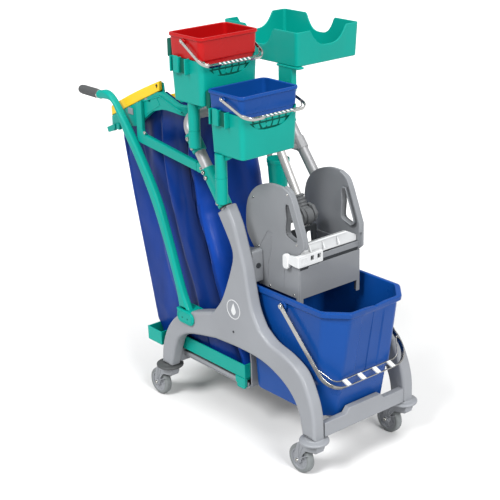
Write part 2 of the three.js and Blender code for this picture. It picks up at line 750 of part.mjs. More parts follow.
function handHole() {
  const shape = new THREE.Shape();
  shape.moveTo(242, 862);
  shape.lineTo(254, 858);
  shape.lineTo(286, 776);
  shape.quadraticCurveTo(290, 752, 274, 750);
  shape.lineTo(250, 748);
  shape.quadraticCurveTo(236, 752, 240, 774);
  shape.quadraticCurveTo(250, 800, 238, 832);
  shape.quadraticCurveTo(232, 850, 242, 862);
  return shape;
}

function wringerPlate() {
  const y0 = -WRINGER_Y - WRINGER_PLATE / 2;
  const y1 = -WRINGER_Y + WRINGER_PLATE / 2;
  const plate = slab(wringerOutline(), y0, y1, 2, 3);
  return cut(plate, slab(handHole(), y0 - 1, y1 + 1, 0, 4));
}

const PLATE_IN = WRINGER_Y - WRINGER_PLATE / 2 - GAP;
for (const [side, sign] of SIDES) {
  addMesh(`wringer_plate_${side}`, mirrored(wringerPlate(), sign), 'wringerGrey');
}

function wringerBox() {
  const outer = box(98, 296, -PLATE_IN, PLATE_IN, WRINGER_FLOOR_Z, 688);
  const room = box(90, 290, -PLATE_IN + 4, PLATE_IN - 4, WRINGER_FLOOR_Z + 5, 700);
  const drains = [];
  for (let i = 0; i < 4; i += 1) {
    for (let k = 0; k < 5; k += 1) {
      const x = 125 + i * 45;
      const y = -88 + k * 44;
      drains.push(box(x - 13, x + 13, y - 13, y + 13, WRINGER_FLOOR_Z - 2, WRINGER_FLOOR_Z + 8));
    }
  }
  return cut(outer, room, ...drains);
}
addMesh('wringer_box', wringerBox(), 'wringerGrey');

// White front bar across the plates, with a block on the near corner and a round knob outside it.
const WRINGER_OUT = -WRINGER_Y - WRINGER_PLATE / 2;

function frontBar() {
  const inner = PLATE_IN - GAP;
  const bar = box(291, 303, -inner, inner, 694, 740);
  const block = box(299.6, 314, -150, -43, 672, 711);
  const corner = box(262, 314, -150, WRINGER_OUT - 0.8, 672, 704);
  const knob = box(240, 268, -152, WRINGER_OUT - 0.8, 656, 706);
  return union(bar, block, corner, knob);
}
addMesh('wringer_front_bar', frontBar(), 'white');

// Press shaft: a ribbed barrel across the plates' middle that the lever turns.
function leverHub() {
  const barrel = turned([
    [0, -34], [24, -34], [24, -14], [30, -12], [30, 12], [24, 14], [24, 34], [0, 34],
  ], 16).rotateX(Math.PI / 2).translate(LEVER.x, LEVER.y, LEVER.z);
  const shaft = pinY(9, -PLATE_IN + 1, PLATE_IN - 1, LEVER.x, LEVER.z, 12);
  const lean = THREE.MathUtils.degToRad(LEVER.lean);
  const socket = post(LEVER.r + 6, 16, 70, 0, 0, 16).rotateY(-lean).translate(LEVER.x, LEVER.y, LEVER.z);
  const bore = post(LEVER.r + GAP, 32, 90, 0, 0, 16).rotateY(-lean).translate(LEVER.x, LEVER.y, LEVER.z);
  return cut(union(barrel, shaft, socket), bore);
}
addMesh('lever_hub', leverHub(), 'wringerGrey');

const leverGroup = new THREE.Group();
leverGroup.position.set(LEVER.x, LEVER.y, LEVER.z);
leverGroup.rotation.y = -THREE.MathUtils.degToRad(LEVER.lean);
cart.add(leverGroup);
addMesh('lever_tube', post(LEVER.r, 33, 268, 0, 0, 16), 'steel', leverGroup);
const leverGrip = turned([[0, 268.3], [16, 268.3], [18, 278], [18, 362], [14, 372], [0, 372]], 16);
addMesh('lever_grip', leverGrip, 'darkGrey', leverGroup);

// Press jaw: a slotted plate that swings forward on its lower edge when the lever comes down.
const JAW = { x: 116, z: 586 };

function pressJaw() {
  const half = PLATE_IN - 8;
  const outline = [[JAW.x - 7, JAW.z - 7], [JAW.x + 7, JAW.z - 7], [118, 712], [106, 712]];
  const blade = slab(shapeOf(outline), -half, half);
  const slots = [-2, -1, 0, 1, 2].map((k) => box(90, 140, k * 42 - 12, k * 42 + 12, 620, 690));
  return cut(blade, ...slots);
}
addMesh('press_jaw', pressJaw(), 'wringerGrey');

function wringerBracket() {
  const inner = FRAME_IN - GAP;
  const outline = new THREE.Shape();
  outline.moveTo(70, 574);
  outline.lineTo(118, 576);
  outline.quadraticCurveTo(128, 578, 128, 590);
  outline.lineTo(126, 674);
  outline.quadraticCurveTo(124, 686, 112, 686);
  outline.lineTo(56, 676);
  return slab(outline, -inner, -WRINGER_Y - WRINGER_PLATE / 2 - 0.8, 0, 4);
}
for (const [side, sign] of SIDES) {
  addMesh(`wringer_bracket_${side}`, mirrored(wringerBracket(), sign), 'wringerGrey');
}

// ----- small buckets in their holders -----
// A post: a spigot down in the clamp's socket and a wider part that stands on the socket.
function smallPost({ x, y, z0, seat, z1 }) {
  const bore = POST_R - POST_WALL;
  const low = seat + GAP;
  const wide = SOCKET_R - 0.5;
  const profile = [[bore, z0], [POST_R, z0], [POST_R, low], [wide, low], [wide, z1], [bore, z1], [bore, z0]];
  return turned(profile, 20).translate(x, -y, 0);
}

// Holder: an open box whose front edge dips in an arc, with its floor at z = 0.
function holder() {
  const hx = HOLDER_X / 2;
  const hy = HOLDER_Y / 2;
  const wall = 3.5;
  const draft = 6;
  const ring = (inset, radius, z) => rectRing(-hx + inset, hx - inset, -hy + inset, hy - inset, radius, z, 3);
  const shell = loft([
    ring(draft, 14, 0), ring(0, 16, HOLDER_HEIGHT),
    ring(wall, 12.5, HOLDER_HEIGHT), ring(wall + draft, 10.5, wall),
  ]);
  const dip = new THREE.Shape();
  dip.moveTo(-hy + 18, HOLDER_HEIGHT + 2);
  dip.quadraticCurveTo(-hy + 34, HOLDER_HEIGHT - 54, 0, HOLDER_HEIGHT - 56);
  dip.quadraticCurveTo(hy - 34, HOLDER_HEIGHT - 54, hy - 18, HOLDER_HEIGHT + 2);
  return cut(shell, wallX(dip, hx - 12, hx + 5, 6));
}

// Small bucket with its outer floor at z = 0: a shoulder carries the wide top over the holder's rim.
function smallBucket(rim) {
  const hx = HOLDER_X / 2;
  const hy = HOLDER_Y / 2;
  const rx = SMALL_RIM_X / 2;
  const ry = SMALL_RIM_Y / 2;
  const wall = 3;
  const step = HOLDER_HEIGHT - 2;
  const ring = (sx, sy, radius, z) => rectRing(-sx, sx, -sy, sy, radius, z, 4);
  const shell = loft([
    ring(hx - 12, hy - 12, 14, 0), ring(hx - 5, hy - 5, 14, step), ring(hx - 1, hy - 1, 18, step),
    ring(rx - 5, ry - 4, 18, rim - 10), ring(rx, ry, 22, rim - 10), ring(rx, ry, 22, rim),
    ring(rx - 8, ry - 8, 14, rim), ring(hx - 4, hy - 4, 15, step + wall),
    ring(hx - 8, hy - 8, 11, step + wall - 1),
    ring(hx - 15, hy - 15, 11, wall),
  ]);
  const ear = pinY(9, -ry - 2, -ry + 7, 0, rim - 20, 16);
  const hole = pinY(3.4, -ry - 4, -ry + 3, 0, rim - 20, 12);
  const ears = [-1, 1].map((s) => mirrored(ear, s));
  const holes = [-1, 1].map((s) => mirrored(hole, s));
  return cut(union(shell, ...ears), ...holes);
}

function bucketSet(name, { place, centre, turn, rim, hang }) {
  addMesh(`${name}_post`, smallPost(place), 'teal');
  const group = new THREE.Group();
  group.position.set(centre.x, centre.y, place.z1 + GAP);
  group.rotation.z = THREE.MathUtils.degToRad(turn);
  cart.add(group);
  addMesh(`${name}_holder`, holder(), 'teal', group);
  const inside = new THREE.Group();
  inside.position.z = 4;
  group.add(inside);
  addMesh(`${name}_bucket`, smallBucket(rim), name, inside);
  const swing = new THREE.Group();
  swing.position.z = rim - 20;
  swing.rotation.y = THREE.MathUtils.degToRad(hang);
  inside.add(swing);
  const wire = bail(SMALL_RIM_Y / 2 + 6, SMALL_BAIL_LENGTH, 34, 11, 3, 3, SMALL_RIM_Y / 2 - 2);
  addMesh(`${name}_bail`, wire, 'steel', swing);
}

bucketSet('blue', { place: BLUE_POST, centre: { x: 91, y: -134 }, turn: 0, rim: 200, hang: 20 });
bucketSet('red', { place: RED_POST, centre: { x: -84, y: -148 }, turn: 0, rim: 215, hang: 31 });

// ----- tool tray -----
function toolTray() {
  const { x0, x1, y0, y1, z0, z1 } = TRAY;
  const wall = 4;
  const draft = 5;
  const shell = loft([
    rectRing(x0 + draft, x1 - draft, y0 + draft, y1 - draft, 14, z0, 3),
    rectRing(x0, x1, y0, y1, 14, z1, 3),
    rectRing(x0 + wall, x1 - wall, y0 + wall, y1 - wall, 10, z1, 3),
    rectRing(x0 + wall + draft, x1 - wall - draft, y0 + wall + draft, y1 - wall - draft, 9, z0 + wall, 3),
  ]);
  const dip = (middle, half, depth) => {
    const shape = new THREE.Shape();
    const [low, top] = [z1 - depth, z1 + 2];
    shape.moveTo(middle - half, top);
    shape.bezierCurveTo(middle - half * 0.62, top, middle - half * 0.66, low, middle, low);
    shape.bezierCurveTo(middle + half * 0.66, low, middle + half * 0.62, top, middle + half, top);
    return shape;
  };
  const along = slab(dip((x0 + x1) / 2, 74, 62), y0 - 5, y1 + 5, 0, 6);
  const across = wallX(dip((y0 + y1) / 2, 84, 56), x0 - 5, x1 + 5, 6);
  return cut(shell, along, across);
}
addMesh('tool_tray', toolTray(), 'teal');

function trayPost() {
  const { x, y } = TRAY_POST;
  const shaft = post(POST_R, 1011, 1120, x, y, 20);
  const plate = box(x - 36, x + 36, y - 12, y + 12, 1098, 1189.7);
  return union(shaft, plate);
}
addMesh('tray_post', trayPost(), 'teal');

// ---------- origin: middle of the footprint, at floor level ----------
const bounds = new THREE.Box3().setFromObject(cart, true);
const middle = bounds.getCenter(v3(0, 0, 0));
const model = new THREE.Group();
cart.position.set(-middle.x, -middle.y, -bounds.min.z);
model.add(cart);

export default model;
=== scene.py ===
"""The looks of a housekeeping cart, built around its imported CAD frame.

Shapes are drawn in millimetres on the cart's own axes: X forward from midway between the wheel
axles, Y from the middle towards the tray's side, Z up from the floor. A shape is a pair of lists,
its vertices and its faces, until piece() turns it into an object that rides on a CAD body.
"""
import math

import bmesh
import bpy
from mathutils import Matrix, Vector, noise


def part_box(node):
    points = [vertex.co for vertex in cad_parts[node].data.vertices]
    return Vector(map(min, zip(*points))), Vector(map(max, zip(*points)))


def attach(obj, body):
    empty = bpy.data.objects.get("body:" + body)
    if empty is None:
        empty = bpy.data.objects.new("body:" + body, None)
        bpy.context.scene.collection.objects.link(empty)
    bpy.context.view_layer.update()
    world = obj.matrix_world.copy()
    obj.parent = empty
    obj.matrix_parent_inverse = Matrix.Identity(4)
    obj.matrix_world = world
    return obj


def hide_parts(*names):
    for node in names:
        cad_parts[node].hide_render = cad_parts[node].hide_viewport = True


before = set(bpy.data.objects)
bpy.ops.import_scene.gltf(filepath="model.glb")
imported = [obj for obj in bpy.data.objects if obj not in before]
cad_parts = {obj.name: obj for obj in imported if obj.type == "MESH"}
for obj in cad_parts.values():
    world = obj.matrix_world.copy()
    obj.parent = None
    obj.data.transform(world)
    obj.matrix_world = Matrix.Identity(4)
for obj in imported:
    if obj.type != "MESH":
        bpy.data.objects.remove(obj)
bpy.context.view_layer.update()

MM = 0.001
CORNERS = ("front_near", "front_far", "rear_near", "rear_far")
SIDES = (("near", -1), ("far", 1))


def centre_of(node):
    low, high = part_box(node)
    return (Vector(low) + Vector(high)) / 2


ORIGIN = sum((centre_of("caster_wheel_" + corner) for corner in CORNERS), Vector()) / len(CORNERS)
ORIGIN.z = 0


def at(x, y, z):
    return ORIGIN + Vector((x, y, z)) * MM


def node_box(*nodes):
    """The lowest and highest corners of some CAD nodes, in millimetres on the cart's axes."""
    boxes = [[(Vector(corner) - ORIGIN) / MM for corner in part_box(node)] for node in nodes]
    low = Vector([min(box[0][k] for box in boxes) for k in range(3)])
    high = Vector([max(box[1][k] for box in boxes) for k in range(3)])
    return low, high


def spans(node):
    """Where a CAD node starts and ends along X, Y and Z."""
    low, high = node_box(node)
    return low.x, high.x, low.y, high.y, low.z, high.z


# ---------- materials ----------
EXPOSURE = 0.62     # the studio light is strong enough to wash the floor out, so colours are held back


def srgb(red, green, blue):
    def linear(value):
        value /= 255
        return value / 12.92 if value <= 0.04045 else ((value + 0.055) / 1.055) ** 2.4
    return (linear(red) * EXPOSURE, linear(green) * EXPOSURE, linear(blue) * EXPOSURE, 1)


class Surface:
    """A material's node tree with the few nodes that these materials share."""

    def __init__(self, name):
        self.material = bpy.data.materials.new(name)
        self.material.use_nodes = True
        self.nodes = self.material.node_tree.nodes
        self.links = self.material.node_tree.links
        self.shader = self.nodes["Principled BSDF"]
        self.place = self.nodes.new("ShaderNodeTexCoord").outputs["Object"]

    def put(self, kind, **values):
        node = self.nodes.new(kind)
        for key, value in values.items():
            setattr(node, key, value)
        return node

    def set(self, **values):
        for key, value in values.items():
            self.shader.inputs[key.replace("_", " ")].default_value = value

    def noise(self, scale, detail=3, stretch=(1, 1, 1)):
        mapping = self.put("ShaderNodeMapping")
        mapping.inputs["Scale"].default_value = stretch
        self.links.new(self.place, mapping.inputs["Vector"])
        node = self.put("ShaderNodeTexNoise")
        node.inputs["Scale"].default_value = scale
        node.inputs["Detail"].default_value = detail
        self.links.new(mapping.outputs["Vector"], node.inputs["Vector"])
        return node.outputs["Fac"]

    def spread(self, source, low, high, from_low=0.3, from_high=0.7):
        node = self.put("ShaderNodeMapRange")
        for key, value in (("From Min", from_low), ("From Max", from_high), ("To Min", low),
                           ("To Max", high)):
            node.inputs[key].default_value = value
        self.links.new(source, node.inputs["Value"])
        return node.outputs["Result"]

    def tint(self, colour, source, low=0.93, high=1.05, from_low=0.3, from_high=0.7):
        """The base colour, a little lighter and darker from place to place."""
        node = self.put("ShaderNodeHueSaturation")
        node.inputs["Color"].default_value = colour
        self.links.new(self.spread(source, low, high, from_low, from_high), node.inputs["Value"])
        self.links.new(node.outputs["Color"], self.shader.inputs["Base Color"])
        return node

    def bump(self, source, height, strength=1.0, under=None):
        node = self.put("ShaderNodeBump")
        node.inputs["Distance"].default_value = height * MM
        node.inputs["Strength"].default_value = strength
        self.links.new(source, node.inputs["Height"])
        if under:
            self.links.new(under, node.inputs["Normal"])
        self.links.new(node.outputs["Normal"], self.shader.inputs["Normal"])
        return node.outputs["Normal"]

    def roughness(self, source, low, high):
        self.links.new(self.spread(source, low, high), self.shader.inputs["Roughness"])


def moulded(name, colour, rough, gloss=0.0, wear=0.05):
    """Moulded plastic: a fine spark-eroded grain, slow shade changes and faint scuffs."""
    surface = Surface(name)
    surface.tint(srgb(*colour), surface.noise(5), 1 - wear, 1 + wear)
    surface.roughness(surface.noise(9, 4), rough - 0.05, rough + 0.07)
    fine = surface.bump(surface.noise(450, 2), 0.02, 0.35)
    surface.bump(surface.noise(11, 1), 0.3, 0.2, fine)
    surface.set(Coat_Weight=gloss, Coat_Roughness=0.12, Specular_IOR_Level=0.12)
    return surface.material


def metal(name, colour, rough, brushed=(1, 1, 1), metallic=1.0):
    """Plated or anodised metal with faint drawing marks along it."""
    surface = Surface(name)
    surface.tint(srgb(*colour), surface.noise(25, 4), 0.94, 1.04)
    marks = surface.noise(700, 3, brushed)
    surface.roughness(marks, rough - 0.05, rough + 0.08)
    surface.bump(marks, 0.02, 0.3)
    surface.set(Metallic=metallic)
    return surface.material


def tyre_rubber():
    surface = Surface("wheel_rubber")
    surface.tint(srgb(126, 131, 132), surface.noise(30, 5), 0.85, 1.08)
    surface.roughness(surface.noise(90), 0.5, 0.75)
    surface.bump(surface.noise(900, 4), 0.08, 0.6)
    return surface.material


def coated_cloth():
    """Coated bag cloth: a weave under a glossy film and soft crumples, its colour carrying painted shade and
    painted light: long streaks and the mesh's painted shading, darker in the folds and lighter on the lit
    front facet.
    """
    surface = Surface("bag_cloth")
    # painted shade and painted light: long upright streaks stand in for fold shading where the cloth has no
    # fold
    painted_fold_streaks = surface.noise(7, 5, (1, 1, 0.3))
    # the mesh's painted shading: painted shade in the fold valleys, inside the bag and under the hoop,
    # painted light on the front facet
    hollow = surface.put("ShaderNodeAttribute", attribute_name="painted_shading").outputs["Fac"]
    painted_shading = surface.put("ShaderNodeMath", operation="MULTIPLY")
    surface.links.new(surface.spread(painted_fold_streaks, 0.7, 1.3), painted_shading.inputs[0])
    surface.links.new(hollow, painted_shading.inputs[1])
    surface.tint(srgb(8, 54, 136), painted_shading.outputs["Value"], 0, 2, 0, 2)
    weave = surface.put("ShaderNodeTexWave", wave_type="BANDS", bands_direction="Z")
    weave.inputs["Scale"].default_value = 160
    surface.links.new(surface.place, weave.inputs["Vector"])
    threads = surface.bump(weave.outputs["Fac"], 0.04, 0.25)
    surface.bump(surface.noise(13, 4, (1, 1, 0.5)), 6, 0.35, threads)
    surface.roughness(surface.noise(12, 3), 0.3, 0.48)
    surface.set(Specular_IOR_Level=0.1, Coat_Weight=0.07, Coat_Roughness=0.16)
    return surface.material


def pale_floor():
    surface = Surface("studio_floor")
    surface.tint((0.62, 0.62, 0.62, 1), surface.noise(2), 0.99, 1.0)
    surface.set(Roughness=0.9)
    return surface.material


TEAL = (0, 162, 148)
# finish: (material, the record's slot)
FINISHES = {
    "teal": (moulded("teal_plastic", TEAL, 0.42, 0.05), "teal_plastic"),
    # a shaded copy of the teal: painted shade in the foot's slots, on the sheets behind the holders' lattice
    # and clips, and on the holders' rear hooks
    "painted_shade_teal": (moulded("teal_shade_plastic", (0, 92, 78), 0.5), "teal_plastic"),
    "grey": (moulded("grey_plastic", (150, 153, 158), 0.4, 0.1), "grey_plastic"),
    "wringer": (moulded("wringer_plastic", (138, 141, 145), 0.4, 0.12), "wringer_plastic"),
    # a shaded copy of the wringer grey: painted shadow in the wringer's slot, behind the latch's holes and on
    # the jaw deep in the wringer; the same dark grey colours some screw heads and the collar on the tower
    "painted_shadow_grey": (moulded("shadow_plastic", (58, 61, 64), 0.6), "wringer_plastic"),
    "dark": (moulded("dark_plastic", (84, 86, 87), 0.5), "dark_plastic"),
    "hub": (moulded("hub_plastic", (104, 106, 108), 0.45), "dark_plastic"),
    "blue": (moulded("blue_plastic", (13, 72, 150), 0.3, 0.08, wear=0.07), "blue_plastic"),
    "red": (moulded("red_plastic", (186, 14, 16), 0.28, 0.14), "red_plastic"),
    "yellow": (moulded("yellow_plastic", (255, 212, 36), 0.4, 0.15), "yellow_plastic"),
    "white": (moulded("white_plastic", (226, 228, 229), 0.4, 0.1, wear=0.02), "white_plastic"),
    "cloth": (coated_cloth(), "bag_cloth"),
    "mast": (metal("mast_coat", (178, 178, 180), 0.4, (1, 1, 0.1), 0.35), "mast_tube_finish"),
    "steel": (metal("bright_steel", (205, 204, 200), 0.2), "bright_steel"),
    "alloy": (metal("lever_alloy", (216, 214, 212), 0.38, (1, 1, 0.05), 0.35), "lever_alloy"),
    "tyre": (tyre_rubber(), "wheel_rubber"),
}


# ---------- outlines ----------
def spline(points, steps=7):
    """Points of a smooth curve through some points, without the first one."""
    result = []
    last = len(points) - 1
    for i in range(last):
        before, start, end, after = (points[max(i - 1, 0)], points[i], points[i + 1],
                                     points[min(i + 2, last)])
        for k in range(1, steps + 1):
            t = k / steps
            result.append(tuple(
                (2 * s - 2 * e + (e - b) / 2 + (a - s) / 2) * t ** 3
                + (-3 * s + 3 * e - (e - b) - (a - s) / 2) * t ** 2 + (e - b) / 2 * t + s
                for b, s, e, a in zip(before, start, end, after)))
    return result


def outline(start, *runs, steps=7):
    """A closed outline: a run of several points is a smooth curve, one of a single point a straight line."""
    points = [start]
    for run in runs:
        points += spline([points[-1], *run], steps) if len(run) > 1 else list(run)
    return points


def arc(cx, cz, radius, start, end, steps=10):
    angles = [math.radians(start + (end - start) * k / steps) for k in range(steps + 1)]
    return [(cx + radius * math.cos(a), cz + radius * math.sin(a)) for a in angles]


def rounded(x0, x1, z0, z1, radius, steps=4):
    """A rectangle with rounded corners, counter-clockwise."""
    corners = ((x1, z1, 0), (x0, z1, 90), (x0, z0, 180), (x1, z0, 270))
    points = []
    for x, z, start in corners:
        cx = x - radius if x == x1 else x + radius
        cz = z - radius if z == z1 else z + radius
        points += arc(cx, cz, radius, start, start + 90, steps)
    return points


# ---------- shapes ----------
def merge(*shapes):
    verts, faces = [], []
    for more_verts, more_faces in shapes:
        faces += [[index + len(verts) for index in face] for face in more_faces]
        verts += more_verts
    return verts, faces


def moved(shape, matrix):
    return [matrix @ Vector(v) for v in shape[0]], shape[1]


def mirrored(shape):
    """The same shape on the other side of the cart."""
    return [(v[0], -v[1], v[2]) for v in shape[0]], [face[::-1] for face in shape[1]]


def sided(shape, sign):
    return shape if sign < 0 else mirrored(shape)


def skin(rings, first=True, last=True):
    """Faces through closed rings of equally many points, with the end rings filled in or left open."""
    count = len(rings[0])
    verts = [v for ring in rings for v in ring]
    faces = []
    for r in range(len(rings) - 1):
        for i in range(count):
            a, b = r * count + i, r * count + (i + 1) % count
            faces.append([a, b, b + count, a + count])
    if first:
        faces.append(list(range(count))[::-1])
    if last:
        faces.append([len(verts) - count + i for i in range(count)])
    return verts, faces


def slab(points, y0, y1, bevel=0.0, holes=(), segments=3):
    """An X-Z outline made solid from y0 to y1, with rounded edges and any holes through it."""
    curve = bpy.data.curves.new("outline", "CURVE")
    curve.dimensions = "2D"
    curve.fill_mode = "BOTH"
    curve.extrude = (y1 - y0) / 2 - bevel
    curve.bevel_depth = bevel
    curve.bevel_resolution = segments
    curve.offset = -bevel
    for loop in (points, *holes):
        run = curve.splines.new("POLY")
        run.points.add(len(loop) - 1)
        for point, (x, z) in zip(run.points, loop):
            point.co = (x, z, 0, 1)
        run.use_cyclic_u = True
    holder = bpy.data.objects.new("outline", curve)
    bpy.context.collection.objects.link(holder)
    mesh = bpy.data.meshes.new_from_object(holder.evaluated_get(bpy.context.evaluated_depsgraph_get()))
    middle = (y0 + y1) / 2
    verts = [(v.co.x, middle + v.co.z, v.co.y) for v in mesh.vertices]
    faces = [list(face.vertices)[::-1] for face in mesh.polygons]
    bpy.data.objects.remove(holder)
    bpy.data.curves.remove(curve)
    bpy.data.meshes.remove(mesh)
    return verts, faces


TO_YZ = Matrix(((0, 1, 0), (1, 0, 0), (0, 0, 1))).to_4x4()      # an X-Z slab turned to face along X
TO_XY = Matrix(((1, 0, 0), (0, 0, 1), (0, 1, 0))).to_4x4()      # an X-Z slab laid flat


def wall(points, x0, x1, bevel=0.0, holes=()):
    """A Y-Z outline made solid from x0 to x1."""
    return moved(slab(points, x0, x1, bevel, holes), TO_YZ)


def block(low, high, bevel=0.0):
    radius = max(bevel, 0.2)
    return slab(rounded(low[0], high[0], low[2], high[2], radius, 3), low[1], high[1], bevel, segments=2)


TURN_TO = {"Z": Matrix(), "Y": Matrix.Rotation(-math.pi / 2, 4, "X"),
           "X": Matrix.Rotation(math.pi / 2, 4, "Y")}


def turned(profile, place=(0, 0, 0), axis="Z", sides=32, hollow=False):
    """A piece turned around an axis from (radius, height) pairs: closed at its ends, or open as a ring."""
    if hollow:
        profile = [*profile, profile[0]]
    angles = [2 * math.pi * k / sides for k in range(sides)]
    rings = [[(r * math.cos(a), r * math.sin(a), h) for a in angles] for r, h in profile]
    return moved(skin(rings, not hollow, not hollow), Matrix.Translation(place) @ TURN_TO[axis])


def rod(radius, low, high, place, axis="Z", edge=0.8, sides=24):
    """A plain pin with broken edges."""
    profile = [(radius - edge, low), (radius, low + edge), (radius, high - edge), (radius - edge, high)]
    return turned(profile, place, axis, sides)


def sweep(path, section, up=(0, 1, 0)):
    """A section carried along a path of points without twisting; section points are (across, up)."""
    path = [Vector(p) for p in path]
    last = len(path) - 1
    rise = Vector(up)
    rings = []
    for i, point in enumerate(path):
        along = (path[min(i + 1, last)] - path[max(i - 1, 0)]).normalized()
        rise = (rise - along * rise.dot(along)).normalized()
        across = along.cross(rise)
        rings.append([point + across * u + rise * v for u, v in section])
    return skin(rings)


def circle(radius, sides=24):
    return [(radius * math.cos(2 * math.pi * k / sides), radius * math.sin(2 * math.pi * k / sides))
            for k in range(sides)]


def bent(corners, bend, steps=10):
    """Corner points joined by straight runs, with each corner rounded."""
    corners = [Vector(c) for c in corners]
    points = [corners[0]]
    for before, corner, after in zip(corners, corners[1:], corners[2:]):
        into, onward = (before - corner).normalized(), (after - corner).normalized()
        half = into.angle(onward) / 2
        start = corner + into * bend / math.tan(half)
        middle = corner + (into + onward).normalized() * bend / math.sin(half)
        swing = (start - middle).rotation_difference(corner + onward * bend / math.tan(half) - middle)
        for k in range(steps + 1):
            turn = Matrix.Rotation(swing.angle * k / steps, 3, swing.axis)
            points.append(middle + turn @ (start - middle))
    return [*points, corners[-1]]


# ---------- objects ----------
def piece(name, shape, body, finish, stands_for=(), bevel=0.0, angle=38):
    verts, faces = shape
    mesh = bpy.data.meshes.new(name)
    mesh.from_pydata([at(*v) for v in verts], [], faces)
    clean = bmesh.new()
    clean.from_mesh(mesh)
    bmesh.ops.remove_doubles(clean, verts=clean.verts, dist=0.01 * MM)
    bmesh.ops.recalc_face_normals(clean, faces=clean.faces)
    clean.to_mesh(mesh)
    clean.free()
    mesh.polygons.foreach_set("use_smooth", [True] * len(mesh.polygons))
    obj = bpy.data.objects.new(name, mesh)
    bpy.context.collection.objects.link(obj)
    if bevel:
        rounding = obj.modifiers.new("Rounding", "BEVEL")
        rounding.width = bevel * MM
        rounding.segments = 3
        rounding.angle_limit = math.radians(angle)
    else:
        mesh.set_sharp_from_angle(angle=math.radians(angle))
    shading = obj.modifiers.new("Shading", "WEIGHTED_NORMAL")
    shading.keep_sharp = True
    surface, slot = FINISHES[finish]
    mesh.materials.append(surface)
    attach(obj, body)
    if stands_for:
        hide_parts(*stands_for)
    return obj


def refinish(node, finish):
    """Gives a CAD node that stays in view its finished material."""
    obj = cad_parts[node]
    surface = FINISHES[finish][0]
    for slot in obj.material_slots:
        slot.material = surface


def bolt_head(place, axis, radius=6.5, height=4.0, outward=-1):
    """A domed hexagon-socket head that stands on a face."""
    profile = [(radius, 0), (radius, height * 0.55), (radius * 0.85, height), (radius * 0.45, height),
               (radius * 0.4, height * 0.4)]
    return turned([(r, outward * h) for r, h in profile], place, axis, 18)


# ---------- side frames ----------
FRAME_Y = (-228, -180)


def frame_outline():
    return outline(
        (-340, 148),
        [(-332, 216), (-306, 284), (-262, 341), (-210, 377), (-124, 411), (-35, 439)],
        [(12, 497), (52, 585), (76, 652)],
        [(72, 700), (7, 801)],
        [(55, 838)],
        [(90, 782), (119, 705), (140, 640), (152, 580), (172, 505), (205, 450)],
        [(258, 417), (335, 396), (402, 360), (443, 293), (464, 227), (468, 148)],
        [(408, 148)],
        [(393, 217), (365, 267), (308, 310), (220, 341), (109, 349), (-24, 343)],
        [(-164, 313), (-230, 278), (-258, 232), (-275, 180), (-286, 148)],
    )


def side_frames():
    shell = slab(frame_outline(), *FRAME_Y, 11, segments=4)
    for side, sign in SIDES:
        piece(f"frame_shell_{side}", sided(shell, sign), "frame", "grey", (f"side_frame_{side}",), angle=50)
        cap = sweep([on_mast(-1), on_mast(4)], circle(21.5, 28), (1, 0, 0))
        piece(f"tower_collar_{side}", sided(cap, sign), "frame", "painted_shadow_grey")
        screw = rod(4, -1.5, 1.5, (77, FRAME_Y[0], 403), "Y", 0.5, 16)
        piece(f"frame_screw_{side}", sided(screw, sign), "frame", "painted_shadow_grey")


def badge():
    """A plain ring with a drop in it on the near side's face."""
    face = FRAME_Y[0]
    edge, hole = (arc(80, 484, radius, 0, 360, 48)[:-1] for radius in (34, 31.5))
    ring = slab(edge, face - 0.8, face + 0.2, 0.2, (hole,), 1)
    drop = outline((80, 506), [(70, 484), (69, 474), (80, 464), (91, 474), (90, 484), (80, 506)], steps=6)
    piece("badge_ring", ring, "frame", "white")
    piece("badge_drop", slab(drop[:-1], face - 0.8, face + 0.2, 0.2, segments=1), "frame", "white")


# ---------- base ----------
PAN_WALL_Y = 152


def base():
    inner = FRAME_Y[1]
    floor = block((-290, -164, 172), (74, 164, 178), 1)
    lips = [block((-290, s * 161 - 3, 174), (70, s * 161 + 3, 190), 1.5) for s in (-1, 1)]
    ribs = [block((-280, y - 2, 163), (66, y + 2, 173)) for y in range(-120, 121, 60)]
    lean = slab([(70, 172), (76, 172), (76, 262), (64, 392), (58, 392), (70, 262)],
                -PAN_WALL_Y, PAN_WALL_Y, 1)
    tongue = block((70, -100, 166), (443, 100, 178), 1.5)
    rear = slab([(-331, 152), (-288, 152), (-288, 198), (-331, 198)], inner + 0.5, -inner - 0.5, 3)
    piece("pan_shell", merge(floor, *lips, *ribs, lean, tongue, rear), "frame", "grey", ("base_pan",))
    half = -inner - 0.5
    edge = [(-half, 149), (half, 149), (half, 199), (86, 199), (70, 217), (-70, 217), (-86, 199),
            (-half, 199)]
    piece("crossbar_shell", wall(edge, 444, 468, 3), "frame", "grey", ("front_crossbar",))


# ---------- casters ----------
TRAIL = 60
WHEEL_R = 50


def caster_disc():
    return turned([(0.1, 133.5), (45, 133.5), (48.2, 134.6), (49, 137.5), (48.6, 140.5), (46, 142.6),
                   (36, 143.6), (31, 144.6), (30, 146.6), (28.5, 147.7), (0.1, 147.7)], sides=48)


def fork_plate(sign):
    half = 14.5
    curve = outline((31, 127), [(-36, 127)], [(-60, 112), (-70, 84), (-74, 56)],
                    arc(-TRAIL, WHEEL_R, 14, 175, 340, 10), [(-30, 88), (2, 99), (26, 108), (31, 127)],
                    steps=6)
    plate = slab(curve[:-1], half, half + 4, 1.2)
    ribs = []
    for lean in (34, 50, 66, 82):
        angle = math.radians(lean)
        reach = (math.cos(angle), math.sin(angle))
        start = (-TRAIL + reach[0] * 12, half + 4.2, WHEEL_R + reach[1] * 12)
        end = (-TRAIL + reach[0] * (50 + lean * 0.12), half + 4.2, WHEEL_R + reach[1] * (50 + lean * 0.12))
        ribs.append(sweep([start, end], circle(1.7, 8), (0, 1, 0)))
    boss = rod(11, 0, 3.2, (-TRAIL, half + 3.8, WHEEL_R), "Y", 0.8)
    shape = merge(plate, *ribs, boss)
    return shape if sign > 0 else mirrored(shape)


